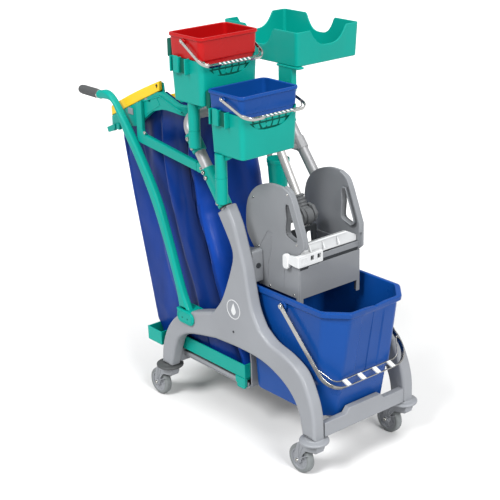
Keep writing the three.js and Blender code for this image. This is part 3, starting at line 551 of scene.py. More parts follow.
def fork_crown():
    arch = outline((29, 106), [(29, 127)], [(-34, 127)], [(-36, 112)],
                   [(-24, 108), (0, 99), (20, 100), (29, 106)], steps=4)
    crown = slab(arch[:-1], -14.6, 14.6, 0.8)
    head = turned([(0.1, 120), (24, 120), (25.5, 122), (25.5, 130), (24, 133), (0.1, 133.2)], sides=36)
    return merge(crown, head)


def wheel():
    half = 13
    tread = turned([(37, -half + 1), (39, -half), (45, -half), (48.4, -half + 2.5), (50, -half + 7),
                    (50, half - 7), (48.4, half - 2.5), (45, half), (39, half), (37, half - 1)], axis="Y",
                   sides=64, hollow=True)
    return moved(tread, Matrix.Translation((-TRAIL, 0, WHEEL_R)))


def wheel_core():
    dish = [(4.6, 11.6), (12.5, 12.6), (14, 12.2), (15.5, 9), (31.5, 9), (33, 12), (36.9, 12.3)]
    profile = [(r, -h) for r, h in dish] + dish[::-1]
    hub = turned(profile, (-TRAIL, 0, WHEEL_R), "Y", 64, hollow=True)
    spokes = []
    for k in range(6):
        spoke = block((14, -10.5, -2.2), (33, 10.5, 2.2), 0.8)
        turn = Matrix.Translation((-TRAIL, 0, WHEEL_R)) @ Matrix.Rotation(math.radians(60 * k + 15), 4, "Y")
        spokes.append(moved(spoke, turn))
    return merge(hub, *spokes)


def casters():
    for corner in CORNERS:
        stem = sum(node_box(f"bumper_disc_{corner}"), Vector()) / 2
        place = Matrix.Translation((stem.x, stem.y, 0))
        tone = "dark" if corner.startswith("rear") else "grey"
        piece(f"disc_{corner}", moved(caster_disc(), place), "frame", tone, (f"bumper_disc_{corner}",),
              angle=60)
        fork = merge(fork_plate(-1), fork_plate(1), fork_crown())
        piece(f"fork_{corner}", moved(fork, place), f"caster_{corner}", "grey", (f"caster_fork_{corner}",))
        piece(f"tread_{corner}", moved(wheel(), place), f"wheel_{corner}", "tyre",
              (f"caster_wheel_{corner}",), angle=60)
        piece(f"core_{corner}", moved(wheel_core(), place), f"wheel_{corner}", "grey")
        refinish(f"caster_axle_{corner}", "steel")
        nuts = [bolt_head((-TRAIL, s * 21.7, WHEEL_R), "Y", 6.5, 3.5, s) for s in (-1, 1)]
        piece(f"axle_heads_{corner}", moved(merge(*nuts), place), f"caster_{corner}", "steel")


# ---------- mast ----------
MAST_R = 18.5
SLEEVE_R = 24
MAST_Y = -204                      # the near leg; the far leg mirrors it
MAST_FOOT = Vector((27, MAST_Y, 821))
MAST_UP = Vector((-math.sin(math.radians(38.4)), 0, math.cos(math.radians(38.4))))
MAST_TOP = 1084


def on_mast(distance, y=MAST_Y):
    point = MAST_FOOT + MAST_UP * distance
    return Vector((point.x, y, point.z))


def mast():
    top = (MAST_TOP - MAST_FOOT.z) / MAST_UP.z
    path = bent([on_mast(-60), on_mast(top), on_mast(top, -MAST_Y), on_mast(-60, -MAST_Y)], 58, 12)
    piece("mast_pipe", sweep(path, circle(MAST_R, 32), (1, 0, 0)), "frame", "mast", ("mast_tube",))


def sleeve(start, end):
    """A clamp's sleeve on the near leg of the mast, with rounded ends."""
    steps = ((start, SLEEVE_R - 2), (start + 1, SLEEVE_R - 0.6), (start + 3, SLEEVE_R), (end - 3, SLEEVE_R),
             (end - 1, SLEEVE_R - 0.6), (end, SLEEVE_R - 2))
    rings = []
    across = Vector((0, 1, 0))
    rise = MAST_UP.cross(across)
    for distance, r in steps:
        centre = on_mast(distance)
        rings.append([centre + across * u * r + rise * v * r for u, v in circle(1, 32)])
    return skin(rings)


def clamp_web(start, end, socket, z0, z1):
    middle = on_mast((start + end) / 2)
    run = math.atan2(socket[1] - middle.y, socket[0] - middle.x)
    reach = math.hypot(socket[0] - middle.x, socket[1] - middle.y)
    plate = block((0, -9, z0), (reach, 9, z1), 3)
    return moved(plate, Matrix.Translation((middle.x, middle.y, 0)) @ Matrix.Rotation(run, 4, "Z"))


def socket_cup(x, y, z0, z1, radius=20):
    return turned([(0.1, z0), (radius - 4, z0), (radius - 1, z0 + 1.5), (radius, z0 + 5), (radius, z1 - 1),
                   (radius - 1, z1), (0.1, z1)], (x, y, 0), sides=36)


BLUE_SOCKET, RED_SOCKET, TRAY_SOCKET = (47, -236), (-84, -236), (-165, -238)


def clamps():
    lug = slab(rounded(-120, -50, 908, 942, 8), -207, -190, 3)
    low = merge(sleeve(3, 143), socket_cup(*BLUE_SOCKET, 845, 932),
                clamp_web(3, 143, BLUE_SOCKET, 850, 926), lug)
    piece("lower_clamp_shell", low, "frame", "teal", ("lower_clamp_near",))
    high = merge(sleeve(205, 272), socket_cup(*RED_SOCKET, 1004, 1062),
                 clamp_web(205, 272, RED_SOCKET, 1006, 1040))
    piece("upper_clamp_shell", high, "frame", "teal", ("upper_clamp_near",))
    far = merge(sleeve(226, 272), socket_cup(*TRAY_SOCKET, 1000, 1086),
                clamp_web(226, 272, TRAY_SOCKET, 1012, 1040))
    piece("tray_clamp_shell", mirrored(far), "frame", "teal", ("upper_clamp_far",))
    refinish("arm_collar_far", "mast")
    seat = MAST_Y - SLEEVE_R
    bolts = [bolt_head((on_mast(s).x, seat + 0.6, on_mast(s).z), "Y", 7.5, 5)
             for s in (20, 112, 132, 222, 256)]
    piece("clamp_bolts", merge(*bolts), "frame", "steel")
    arm = [bolt_head((-93, -207, 926), "Y", 6.5, 4), bolt_head((-405, -206, 985), "Y", 6, 3)]
    piece("arm_bolts", merge(*arm), "frame", "steel")


# ---------- push handle ----------
HANDLE_Y = (-229, -201)
GRIP_Z = 1079
GRIP_RINGS = 10


def push_handle():
    left = [(-239, 471), (-296, 620), (-361, 758), (-442, 886), (-503, 966), (-540, 1026), (-560, 1056),
            (-584, 1070), (-618, 1070), (-656, 1066)]
    right = [(-612, 1101), (-566, 1082), (-494, 1007), (-400, 886), (-319, 758), (-262, 620), (-206, 471),
             (-168, 398)]
    edge = outline((-222, 398), left, [(-656, 1092)], right)
    piece("handle_arm", slab(edge, *HANDLE_Y, 9, segments=5), "frame", "teal", ("push_handle",), angle=50)
    y = sum(HANDLE_Y) / 2
    stub = turned([(0.1, 0), (14, 0), (15.2, 1.5), (15.2, 14), (13, 20), (0.1, 20)], (-660, y, GRIP_Z),
                  "X", 32)
    piece("handle_stub", stub, "frame", "teal")
    ring = rod(15.6, -7, 0, (-657, y, GRIP_Z), "X", 1, 32)
    piece("grip_ring", ring, "frame", "steel")
    ribs = [(13.5, 0), (15.6, 2)]
    for k in range(GRIP_RINGS):
        ribs += [(16.2, 8 + k * 9), (16.9, 11 + k * 9), (16.9, 14 + k * 9), (16.2, 16.5 + k * 9)]
    ribs += [(15.6, 106), (14, 110), (10, 112.5), (0.1, 113)]
    grip = turned([(0.1, 0), *ribs], sides=32)
    turn = Matrix.Translation((-664, y, GRIP_Z)) @ Matrix.Rotation(-math.pi / 2, 4, "Y")
    piece("grip_sleeve", moved(grip, turn), "frame", "dark", ("handle_grip",))


FOOT = (-224, -134, 350, 398)      # the foot's cap: rear and front ends, bottom and top


def handle_foot():
    x0, x1, z0, z1 = FOOT
    cap = rounded(x0, x1, z0, z1, 23, 10)
    outer = slab(cap, -236.5, -228, 3)
    inner = slab(cap, -180, -172, 2.5)
    neck = slab([(-222, 384), (-226, 399), (-160, 399), (-148, 384)], -236, -172, 3)
    piece("foot_cap", merge(outer, inner, neck), "frame", "teal", ("handle_foot",))
    lip = slab(rounded(x0 + 5, x1 - 5, z0 + 5, z1 - 5, 18, 10), -238, -236, 0.8,
               (rounded(x0 + 8, x1 - 8, z0 + 8, z1 - 8, 15, 10),))
    piece("foot_lip", lip, "frame", "teal")
    # painted shade: two thin dark discs stand for the shade inside the foot's slots
    slot_shades = [rod(3.4, -0.4, 0.4, ((x0 + x1) / 2 + s * 14, -236.6, 372), "Y", 0.2, 16) for s in (-1, 1)]
    piece("foot_slot_shade", merge(*slot_shades), "frame", "painted_shade_teal")


# ---------- bag carrier ----------
def bag_arms():
    edge = outline((-121, 909), [(-121, 941)], [(-404, 977)], [(-416, 982), (-421, 996)], [(-421, 1094)],
                   [(-453, 1082)], [(-453, 962)], [(-448, 948), (-436, 943)])
    for side, sign in SIDES:
        piece(f"arm_bar_{side}", sided(slab(edge, -206.4, -190.4, 4), sign), "frame", "teal",
              (f"bag_arm_{side}",))


HOOP_LINE = ((-700, 968), (-330, 1142), (-150, 1086))


def hoop_top(x):
    rear, peak, front = HOOP_LINE
    start, end = (rear, peak) if x < peak[0] else (peak, front)
    return start[1] + (x - start[0]) / (end[0] - start[0]) * (end[1] - start[1])


SKIRT = [(-700, 930), (-640, 958), (-560, 990), (-500, 986), (-470, 994), (-423, 1030), (-380, 1062),
         (-310, 1082), (-237, 1080), (-150, 1060)]


def skirt(x):
    for (x0, z0), (x1, z1) in zip(SKIRT, SKIRT[1:]):
        if x <= x1:
            t = (x - x0) / (x1 - x0)
            return z0 + (z1 - z0) * t
    return SKIRT[-1][1]


def plan_loop(x0, x1, half, radius, steps=6, along=14, rear_radius=None):
    """Points round a rounded rectangle seen from above, close enough together to follow a curve."""
    points = []
    for x, y, start in ((x1, half, 0), (x0, half, 90), (x0, -half, 180), (x1, -half, 270)):
        bend = rear_radius if rear_radius and x == x0 else radius
        cx = x - bend if x == x1 else x + bend
        cy = y - bend if y > 0 else y + bend
        corner = arc(cx, cy, bend, start, start + 90, steps)
        if points:
            points += between(points[-1], corner[0], along)
        points += corner
    return points + between(points[-1], points[0], along)


def between(start, end, count):
    return [(start[0] + (end[0] - start[0]) * k / count, start[1] + (end[1] - start[1]) * k / count)
            for k in range(1, count)]


def hoop():
    outer = plan_loop(-655, -200, 190, 42)
    inner = plan_loop(-639, -216, 174, 26)
    strips = [[(x, y, skirt(x)) for x, y in outer], [(x, y, hoop_top(x) - 2) for x, y in outer],
              [(x, y, hoop_top(x)) for x, y in plan_loop(-653, -202, 188, 40)],
              [(x, y, hoop_top(x)) for x, y in plan_loop(-641, -214, 176, 28)],
              [(x, y, hoop_top(x) - 2) for x, y in inner], [(x, y, skirt(x) + 1) for x, y in inner]]
    strips.append(strips[0])
    piece("hoop_band", skin(strips, False, False), "frame", "teal", ("bag_hoop",))
    hoop_fittings()


def hoop_fittings():
    """What the hoop carries on each side: hinge ear and pin, stiffener, rear hooks, stop and label plate."""
    for side, sign in SIDES:
        ear = slab(outline((-362, 1104), [(-324, 1108)], [(-330, 1160)],
                           [(-334, 1166), (-352, 1166), (-358, 1160)]), -174, -168, 1.5)
        pin = rod(3.5, 0, 20, (-345, -190, 1151), "Y", 0.5, 16)
        piece(f"hoop_ear_{side}", sided(ear, sign), "frame", "teal")
        piece(f"hoop_pin_{side}", sided(pin, sign), "frame", "steel")
        gusset = slab([(-430, 1036), (-424, 1092), (-350, 1120), (-330, 1092)], -191.5, -189, 1)
        rib = sweep([(-424, -191, 1090), (-330, -191, 1124), (-210, -191, 1090)], circle(3.2, 10), (0, 1, 0))
        piece(f"hoop_rib_{side}", sided(merge(gusset, rib), sign), "frame", "teal")
        hook = outline((-648, 958), [(-600, 978)], [(-596, 966), (-604, 952)], [(-618, 948)], [(-640, 940)])
        hooks = merge(slab(hook, -200, -186, 2.5), block((-585, -202, 962), (-566, -188, 984), 3))
        piece(f"hoop_hook_{side}", sided(hooks, sign), "frame", "teal")
        stop = block((-520, -193, 1030), (-490, -189, 1052), 1.2)
        piece(f"hoop_stop_{side}", sided(stop, sign), "frame", "grey")
        label = block((-418, -191.5, 1094), (-384, -189.5, 1103), 0.6)
        piece(f"hoop_label_{side}", sided(label, sign), "frame", "grey")


def three_sides(front, rear, half, radius):
    """An open run seen from above: from the front back along one side, across the rear and forward again."""
    turns = [arc(rear + radius, half - radius, radius, 90, 180, 8),
             arc(rear + radius, radius - half, radius, 180, 270, 8)]
    return [(front, half), *between((front, half), turns[0][0], 24), *turns[0],
            *between(turns[0][-1], turns[1][0], 12), *turns[1], *between(turns[1][-1], (front, -half), 24),
            (front, -half)]


def clamp_bar():
    """The yellow frame that nips the bag's hem: a deep bar round three sides of the hoop."""
    def low(x):
        return hoop_top(x) + 1.2

    def high(x):
        t = max(0.0, min(1.0, (x + 656) / 320))
        return hoop_top(x) + 34 + 6 * math.sin(math.pi * t)
    outer, inner = (three_sides(-332, -655 + m, 190 - m, 42 - m) for m in (0, 14))
    strips = [[(x, y, low(x)) for x, y in outer], [(x, y, high(x)) for x, y in outer],
              [(x, y, high(x)) for x, y in inner], [(x, y, low(x)) for x, y in inner]]
    count = len(outer)
    verts = [v for strip in strips for v in strip]
    faces = []
    for s in range(4):
        a, b = s * count, ((s + 1) % 4) * count
        faces += [[a + i, a + i + 1, b + i + 1, b + i] for i in range(count - 1)]
    faces += [[0, count, 2 * count, 3 * count], [count - 1, 2 * count - 1, 3 * count - 1, 4 * count - 1]]
    piece("clamp_frame", (verts, faces), "clamp", "yellow", ("bag_clamp",), bevel=3)
    for side, sign in SIDES:
        screw = rod(4.5, -2, 1, (-345, -190, 1158), "Y", 0.6, 16)
        piece(f"clamp_screw_{side}", sided(screw, sign), "clamp", "painted_shadow_grey")


# ---------- bag ----------
BAG_RINGS = (                      # height, rear x, front x, half width, front corner radius
    (219, -410, 34, 165, 44),
    (236, -414, 42, 167, 50),
    (262, -418, 46, 168, 56),
    (292, -444, 34, 168, 60),
    (400, -472, -22, 167, 66),
    (560, -514, -92, 166, 70),
    (750, -563, -168, 165, 70),
    (950, -609, -216, 164, 60),
)
BAG_CREASE = 16                    # radius of the two rear corners, where the cloth is creased
BAG_FOOT = BAG_RINGS[0][0]
BAG_CLIMB = 700                    # from the foot up to where the mouth starts
BAG_LEVELS = 70                    # folded rings over that climb
BAG_AROUND = 240                   # points round each ring
MOUTH_STEPS = 14                   # rings that blend the folds into the plain mouth
FOLD_DROP = 13                     # how quickly a fold drops away behind its ridge


def bag_size(z):
    """The bag's rear, front, half width and corner radius at a height, by even steps between the rings."""
    z = max(z, BAG_FOOT)
    for low, high in zip(BAG_RINGS, BAG_RINGS[1:]):
        if z <= high[0]:
            t = (z - low[0]) / (high[0] - low[0])
            return [a + (b - a) * t for a, b in zip(low[1:], high[1:])]
    return list(BAG_RINGS[-1][1:])


def smooth(t):
    t = max(0.0, min(1.0, t))
    return t * t * (3 - 2 * t)


# Long folds of both sides: distance behind the front ridge, depth at the foot and at the hoop, reach.
FOLDS = ((6, 26, 44, 70), (150, 6, 15, 50), (262, 3, 10, 60))


def fold(behind, z, around, side):
    """How far the cloth stands inward, a distance behind the ridge that runs down the bag's front corner.

    Each fold drops away sharply behind its own ridge and comes back slowly. Narrow pleats under the
    hoop and soft crumples lie over them.
    """
    height = smooth((z - BAG_FOOT) / 760)
    depth = 0.0
    for place, low, high, reach in FOLDS:
        past = behind - place - 16 * noise.noise(Vector((z / 190, side * 5.0 + place, 0)))
        if past > 0:
            fall = smooth(past / FOLD_DROP) * math.exp(-max(0.0, past - FOLD_DROP) / reach)
            depth += (low + (high - low) * height) * fall
    bend = noise.noise(Vector((around * 4, z / 240, 0.3)))
    pleat = (0.5 - 0.5 * math.sin(around * 2 * math.pi * 9 + bend * 4)) ** 3
    crush = noise.noise(Vector((around * 14, z / 80, 2.7)))
    return depth + 9 * pleat * smooth((z - 560) / 400) + 3.5 * abs(crush)


def evenly(loop, count):
    """Evenly spaced places round a closed loop: each a point, its way inward and how far round it is."""
    closed = [Vector(point) for point in (*loop, loop[0])]
    lengths = [0.0]
    for start, end in zip(closed, closed[1:]):
        lengths.append(lengths[-1] + (end - start).length)
    places = []
    span = 0
    for k in range(count):
        distance = lengths[-1] * k / count
        while lengths[span + 1] < distance:
            span += 1
        run = closed[span + 1] - closed[span]
        point = closed[span] + run * (distance - lengths[span]) / run.length
        places.append((point, Vector((-run.y, run.x)).normalized(), distance))
    return places, lengths[-1]


def bag_ring(z, count):
    """One folded ring of the bag and its painted shading, from the front of the far side round by the rear.
    """
    rear, front, half, radius = bag_size(z + 20)
    places, total = evenly(plan_loop(rear, front, half, radius, 8, 16, BAG_CREASE), count)
    far_ridge = radius * math.pi / 4
    near_ridge = total - (2 * half - 2 * radius) - far_ridge
    ring, painted_shadings = [], []
    for point, inward, distance in places:
        side = 1 if distance < total / 2 else -1
        behind = distance - far_ridge if side > 0 else near_ridge - distance
        depth = fold(behind, z, distance / total, side) if point.x > rear + BAG_CREASE else 0.0
        point = point + inward * depth
        # painted light on the front facet ahead of the ridge, painted shade that deepens as the fold sinks
        # inward
        lit = 1 - smooth(-behind / 70) if behind < 0 else 0.0
        painted_shadings.append(1 + 0.6 * lit - 0.72 * smooth(depth / 38))
        ring.append((point.x, point.y, z))
    return ring, painted_shadings


def bag():
    levels = [BAG_FOOT + BAG_CLIMB * level / (BAG_LEVELS - 1) for level in range(BAG_LEVELS)]
    rings, painted_shadings = map(list, zip(*(bag_ring(level, BAG_AROUND) for level in levels)))
    top, top_painted_shadings = rings[-1], painted_shadings[-1]
    mouth, _ = evenly(plan_loop(-634, -221, 161, 32, 8, 16, 30), BAG_AROUND)
    for step in range(1, MOUTH_STEPS + 1):
        t = step / MOUTH_STEPS
        ease = smooth(t)
        rings.append([(x + (end.x - x) * ease, y + (end.y - y) * ease, z + (hoop_top(end.x) - 7 - z) * t)
                      for (x, y, z), (end, _, _) in zip(top, mouth)])
        # painted shade under the hoop: the mouth's rings darken towards 0.7
        painted_shadings.append([painted_shading + (0.7 - painted_shading) * ease for painted_shading in top_painted_shadings])
    inner = [inset(ring, 3.0) for ring in rings[::-3]]
    inner[-1] = [(x, y, z + 4) for x, y, z in inner[-1]]
    cloth = piece("bag_cloth", skin(rings + inner), "frame", "cloth", ("bag",), angle=70)
    painted_shading = cloth.data.attributes.new("painted_shading", "FLOAT", "POINT")
    # painted shade inside the bag
    inside = [0.5] * (BAG_AROUND * len(inner))
    painted_shading.data.foreach_set("value", [value for row in painted_shadings for value in row] + inside)


def inset(ring, depth):
    cx = sum(p[0] for p in ring) / len(ring)
    cy = sum(p[1] for p in ring) / len(ring)
    points = []
    for x, y, z in ring:
        inward = Vector((cx - x, cy - y)).normalized() * depth
        points.append((x + inward.x, y + inward.y, z))
    return points


def platform():
    def plan(m, z):
        loop = [(-428 + m, -221 + m), (-345 - m, -221 + m), (-345 - m, -177 + m), (69 - m, -177 + m),
                (69 - m, 177 - m), (-345 - m, 177 - m), (-345 - m, 221 - m), (-428 + m, 221 - m)]
        return [(x, y, z) for x, y in loop]
    shell = skin([plan(1, 208), plan(0, 260), plan(4.5, 260), plan(5.5, 214)])
    piece("platform_tray", shell, "frame", "teal", ("bag_platform",), bevel=1.6)
    ribs = [block((-340 + 60 * k, -170, 203), (-337 + 60 * k, 170, 209)) for k in range(7)]
    piece("platform_ribs", merge(*ribs), "frame", "teal")
    tabs = []
    for sign in (-1, 1):
        edge = outline((18, 207.8), [(18, 186)], [(26, 180), (26, 170)], [(29, 168)], [(62, 168)],
                       [(69, 178)], [(69, 207.8)])
        tabs.append(sided(slab(edge, -178, -166, 2), sign))
    web = block((30, -170, 195), (60, 170, 207.5), 1.5)
    piece("platform_feet", merge(*tabs, web), "frame", "teal", ("platform_bracket",))


# ---------- mop bucket ----------
BUCKET = {"floor": 183, "rim": 570}
BAIL_PIVOT = (265, 0, 539)
MOP_BAIL_REACH = 319
MOP_BAIL_HANG = 45                 # degrees below level


def bucket_loop(z, grow, notch=0.0):
    """One ring of the mop bucket: round rear corners, cut-off front corners, a shallow panel in the front."""
    t = (z - BUCKET["floor"]) / (BUCKET["rim"] - BUCKET["floor"])
    rear = 84 + (68 - 84) * t - grow
    front = 434 + (505 - 434) * t + grow
    half = 148 + (166 - 148) * t + grow
    cut_x = 46 + 20 * t
    cut_y = 46 + 18 * t
    knee = 9

    def side(s):
        inner = half - cut_y
        panel = inner * 0.5
        dent = 3.5 * smooth((z - 318) / 6) * smooth((544 - z) / 6)
        points = [(front - 1.8 * dent, 0), (front - 1.8 * dent, s * 3), (front - dent, s * 5.5),
                  (front - dent, s * (panel - 5)), (front, s * panel), (front, s * (inner - knee))]
        points += [(front - k / 5 * knee * 0.7 * k / 5, s * (inner - knee + k / 5 * knee * 1.9))
                   for k in range(1, 5)]
        turn = [(front - knee * 0.75 - 2, s * (inner + knee)), (front - cut_x + knee, s * (half - knee - 1))]
        points += between(turn[0], turn[1], 6)
        points += [turn[1], (front - cut_x, s * (half - 3.5)), (front - cut_x - knee, s * half)]
        points += between((front - cut_x - knee, s * half), (rear + 34, s * half), 8)
        points += [(x, s * y) for x, y in arc(rear + 34, half - 34, 34, 90, 180, 8)]
        return points
    loop = side(1) + side(-1)[:0:-1]
    ring = []
    for x, y in loop:
        dip = notch * max(0.0, 1 - abs(y) / 12) if x > (front + rear) / 2 else 0.0
        ring.append((x, y, z - dip))
    return ring


def mop_bucket():
    low, rim = BUCKET["floor"], BUCKET["rim"]
    rows = [(low, -5, 0), (low + 1.5, -1.5, 0), (low + 6, 0, 0)]
    rows += [(z, grow, 0) for z, grow in ((240, 0), (298, 0), (304, 1), (314, 4.4), (320, 5), (326, 5),
                                          (380, 3.8), (440, 2.6), (500, 1.4), (538, 0.6), (544, 0))]
    rows += [(rim - 18, 1, 0), (rim - 18.5, 7.5, 0), (rim - 16.5, 9, 0), (rim - 3, 9, 3), (rim - 0.8, 8, 5),
             (rim, 6, 7), (rim, -1.5, 7), (rim - 1, -3.4, 7), (rim - 4, -4, 4), (rim - 20, -4, 0),
             (low + 30, -4, 0), (low + 5, -5, 0), (low + 4, -9, 0)]
    shape = skin([bucket_loop(z, grow, notch) for z, grow, notch in rows])
    piece("bucket_shell", shape, "frame", "blue", ("mop_bucket",), angle=32)
    for side, sign in SIDES:
        boss = turned([(0.1, -160), (15, -160), (15, -174), (13.5, -176), (7, -176), (5.6, -174.5),
                       (0.1, -174.5)], BAIL_PIVOT, "Y", 32)
        gusset = slab([(252, 551), (278, 551), (268, 512), (262, 512)], -174, -160, 2)
        piece(f"bail_boss_{side}", sided(merge(boss, gusset), sign), "frame", "blue")


def bail_shape(half, length, bend, width, thick, opening, spread):
    """A flat strap round three sides, along +X from its pivots, with a second rail inside its front bar."""
    edge = min(width, thick) * 0.3
    section = rounded(-thick / 2, thick / 2, -width / 2, width / 2, edge, 3)
    path = bent([(-9, -half, 0), (length, -half, 0), (length, -opening, 0)], bend, 12)
    arms = sweep(path, section, (0, 0, 1))
    rail = circle(thick * 0.55, 12)
    bar = sweep([(length, -opening - 3, 0), (length, opening + 3, 0)], rail, (0, 0, 1))
    start, corner = length - bend - spread, half - bend * 0.6
    inner = bent([(start, -half, 0), (length - spread, -corner, 0), (length - spread, corner, 0),
                  (start, half, 0)], bend * 0.6, 8)
    return merge(arms, mirrored(arms), bar, sweep(inner, rail, (0, 0, 1)))


def grip_shape(half, length, spread, thick, count, width):
    """Slanted bridges between the two rails of a bail."""
    inner, outer = length - spread, length
    shapes = []
    for k in range(count):
        y = half * (2 * k / (count - 1) - 1)
        face = [(inner, y - width), (outer, y - width * 0.3), (outer, y + width), (inner, y + width * 0.3)]
        shapes.append(moved(slab(face, -thick / 2, thick / 2, 0.8), TO_XY))
    return merge(*shapes)


def hung(shape, x, y, z, degrees):
    turn = Matrix.Translation((x, y, z)) @ Matrix.Rotation(math.radians(degrees), 4, "Y")
    return moved(shape, turn)


def mop_bail():
    place = (*BAIL_PIVOT, MOP_BAIL_HANG)
    strap = bail_shape(183, MOP_BAIL_REACH, 70, 18, 4, 112, 24)
    pins = [rod(5, -9, 9, (0, s * 177, 0), "Y", 0.8) for s in (-1, 1)]
    heads = [rod(8, -1.5, 1.5, (0, s * 186.5, 0), "Y", 0.8) for s in (-1, 1)]
    piece("mop_bail_strap", hung(merge(strap, *pins, *heads), *place), "mop_bail", "steel",
          ("mop_bucket_bail",))
    piece("mop_bail_grip", hung(grip_shape(100, MOP_BAIL_REACH, 24, 6, 4, 13), *place), "mop_bail", "white",
          ("mop_bucket_grip",))


# ---------- wringer ----------
PLATE_Y = (-134, -124)


def wringer_outline(corner):
    """A side plate; the front edge ends at a corner, which is higher where the latch passes."""
    return outline(
        (98, 558), [(86, 672)],
        [(56, 710), (42, 745), (45, 815), (64, 860), (104, 896), (165, 917), (222, 918)],
        [(256, 902), (276, 868)], [(320, 760)], [(320, corner)], [(299, corner - 18)], [(297, 520)],
        [(284, 520)], [(284, 558)])


def hand_hole(grow=0.0):
    """A tall slot that is narrow at the top and widens downwards behind the sloping front edge."""
    return outline(
        (244 - grow, 866 + grow), [(252 + grow, 866 + grow)], [(290 + grow, 772)],
        [(292 + grow, 756), (280, 748 - grow)], [(252, 756 - grow)],
        [(240 - grow, 762), (236 - grow, 776), (240 - grow, 816)], [(236 - grow, 850)],
        [(238 - grow, 862), (244 - grow, 866 + grow)])[:-1]


def wringer_sides():
    rim = slab(hand_hole(3), PLATE_Y[0] - 1, PLATE_Y[1] + 14, 1, (hand_hole(0),))
    flange = slab(outline((226, 919), [(256, 903), (276, 868)], [(320, 760)], [(320, 730)], [(313, 730)],
                          [(313, 759)], [(270, 866), (252, 896), (225, 912)]), PLATE_Y[1] - 1,
                  PLATE_Y[1] + 12, 1.5)
    for side, sign in SIDES:
        plate = slab(wringer_outline(732 if sign < 0 else 682), *PLATE_Y, 2.5, (hand_hole(),))
        piece(f"wringer_side_{side}", sided(merge(plate, rim, flange), sign), "wringer", "wringer",
              (f"wringer_plate_{side}",))
        spots = ((82, 853), (246, 898), (289, 741), (274, 567), (158, 566), (104, 690))
        screws = [rod(3.6, -1.2, 1, (x, PLATE_Y[0], z), "Y", 0.5, 14) for x, z in spots]
        piece(f"wringer_screws_{side}", sided(merge(*screws), sign), "wringer", "steel")
        face = PLATE_Y[0] - 0.5
        lines = [[(109, face, 574), (109, face, 690), (150, face, 756), (176, face, 752)],
                 [(150, face, 566), (150, face, 640), (168, face, 700), (168, face, 740)],
                 [(230, face, 570), (230, face, 650), (232, face, 668)]]
        ridges = [sweep(bent(line, 14, 5), circle(0.9, 6), (0, 1, 0)) for line in lines]
        piece(f"wringer_ridges_{side}", sided(merge(*ridges), sign), "wringer", "wringer")


def wringer_body():
    inner = 123.7
    wide = inner + 9
    leg = 14
    face = [(-wide, 520), (-wide + leg, 520), (-wide + leg, 558), (wide - leg, 558), (wide - leg, 520),
            (wide, 520), (wide, 664), (-wide, 664)]
    front = wall(face, 297.5, 302.5, 1.2)
    lintel = wall(rounded(-wide, wide, 676, 694, 2), 297.5, 303, 1.2)
    sides = [block((98, s * (inner - 2) - 2, 560), (292, s * (inner - 2) + 2, 686), 1) for s in (-1, 1)]
    edges = [block((98, -inner, 558), (104, inner, 563), 1), block((286, -inner, 558), (294, inner, 563), 1)]
    grid = [block((104, -inner + 2 + 12.1 * k, 558.5), (288, -inner + 6 + 12.1 * k, 562.5))
            for k in range(21)]
    bars = [block((126 + 36 * k, -inner + 2, 558), (130 + 36 * k, inner - 2, 563)) for k in range(5)]
    piece("wringer_tub", merge(front, lintel, *sides, *edges, *grid, *bars), "wringer", "wringer",
          ("wringer_box",))
    # painted shadow: a dark strip in the slot between the front wall and the lintel
    slot = wall(rounded(-inner, inner, 662, 678, 1), 296.6, 299)
    piece("wringer_slot_shadow", slot, "wringer", "painted_shadow_grey")


def latch():
    """White front bar with three pointed stiffeners, and the latch that reaches round the near corner."""
    bar = wall([(-122, 697), (122, 697), (122, 716), (74, 741), (-114, 741), (-122, 728)], 290, 296, 1.2)
    lip = block((288, -114, 736), (302, 74, 741), 1.2)
    teeth = [moved(slab([(0, 0), (13, 0), (0, 26)], -2.5, 2.5, 0.8), Matrix.Translation((296, y, 710)))
             for y in (-88, -30, 34)]
    holes = [rounded(y - 7, y + 7, 686, 702, 2) for y in (-89, -60)]
    block_face = wall(rounded(-150, -43, 672, 711, 4), 299, 314, 2, holes)
    reach = slab(outline((262, 676), [(262, 702)], [(300, 708)], [(300, 672)]), -149, -136, 2)
    knob = slab(rounded(239, 266, 656, 706, 12, 6), -152, -137, 3.5)
    cells = wall(rounded(-142, -112, 678, 704, 2), 313, 315, 0.6, [rounded(-138, -129, 682, 700, 1),
                                                                      rounded(-125, -116, 682, 700, 1)])
    piece("latch_bar", merge(bar, lip, *teeth, block_face, reach, knob, cells), "wringer", "white",
          ("wringer_front_bar",))
    # painted shade: dark sheets behind the latch's holes and under the latch
    dark = wall(rounded(-100, -48, 680, 706, 2), 300, 306)
    under = wall([(-132, 658), (-100, 658), (-92, 672), (-132, 672)], 302, 304, 0.5)
    piece("latch_hole_shade", merge(dark, under), "wringer", "painted_shadow_grey")


LEVER = {"x": 150, "y": 30, "z": 765, "lean": -31, "r": 14.5}


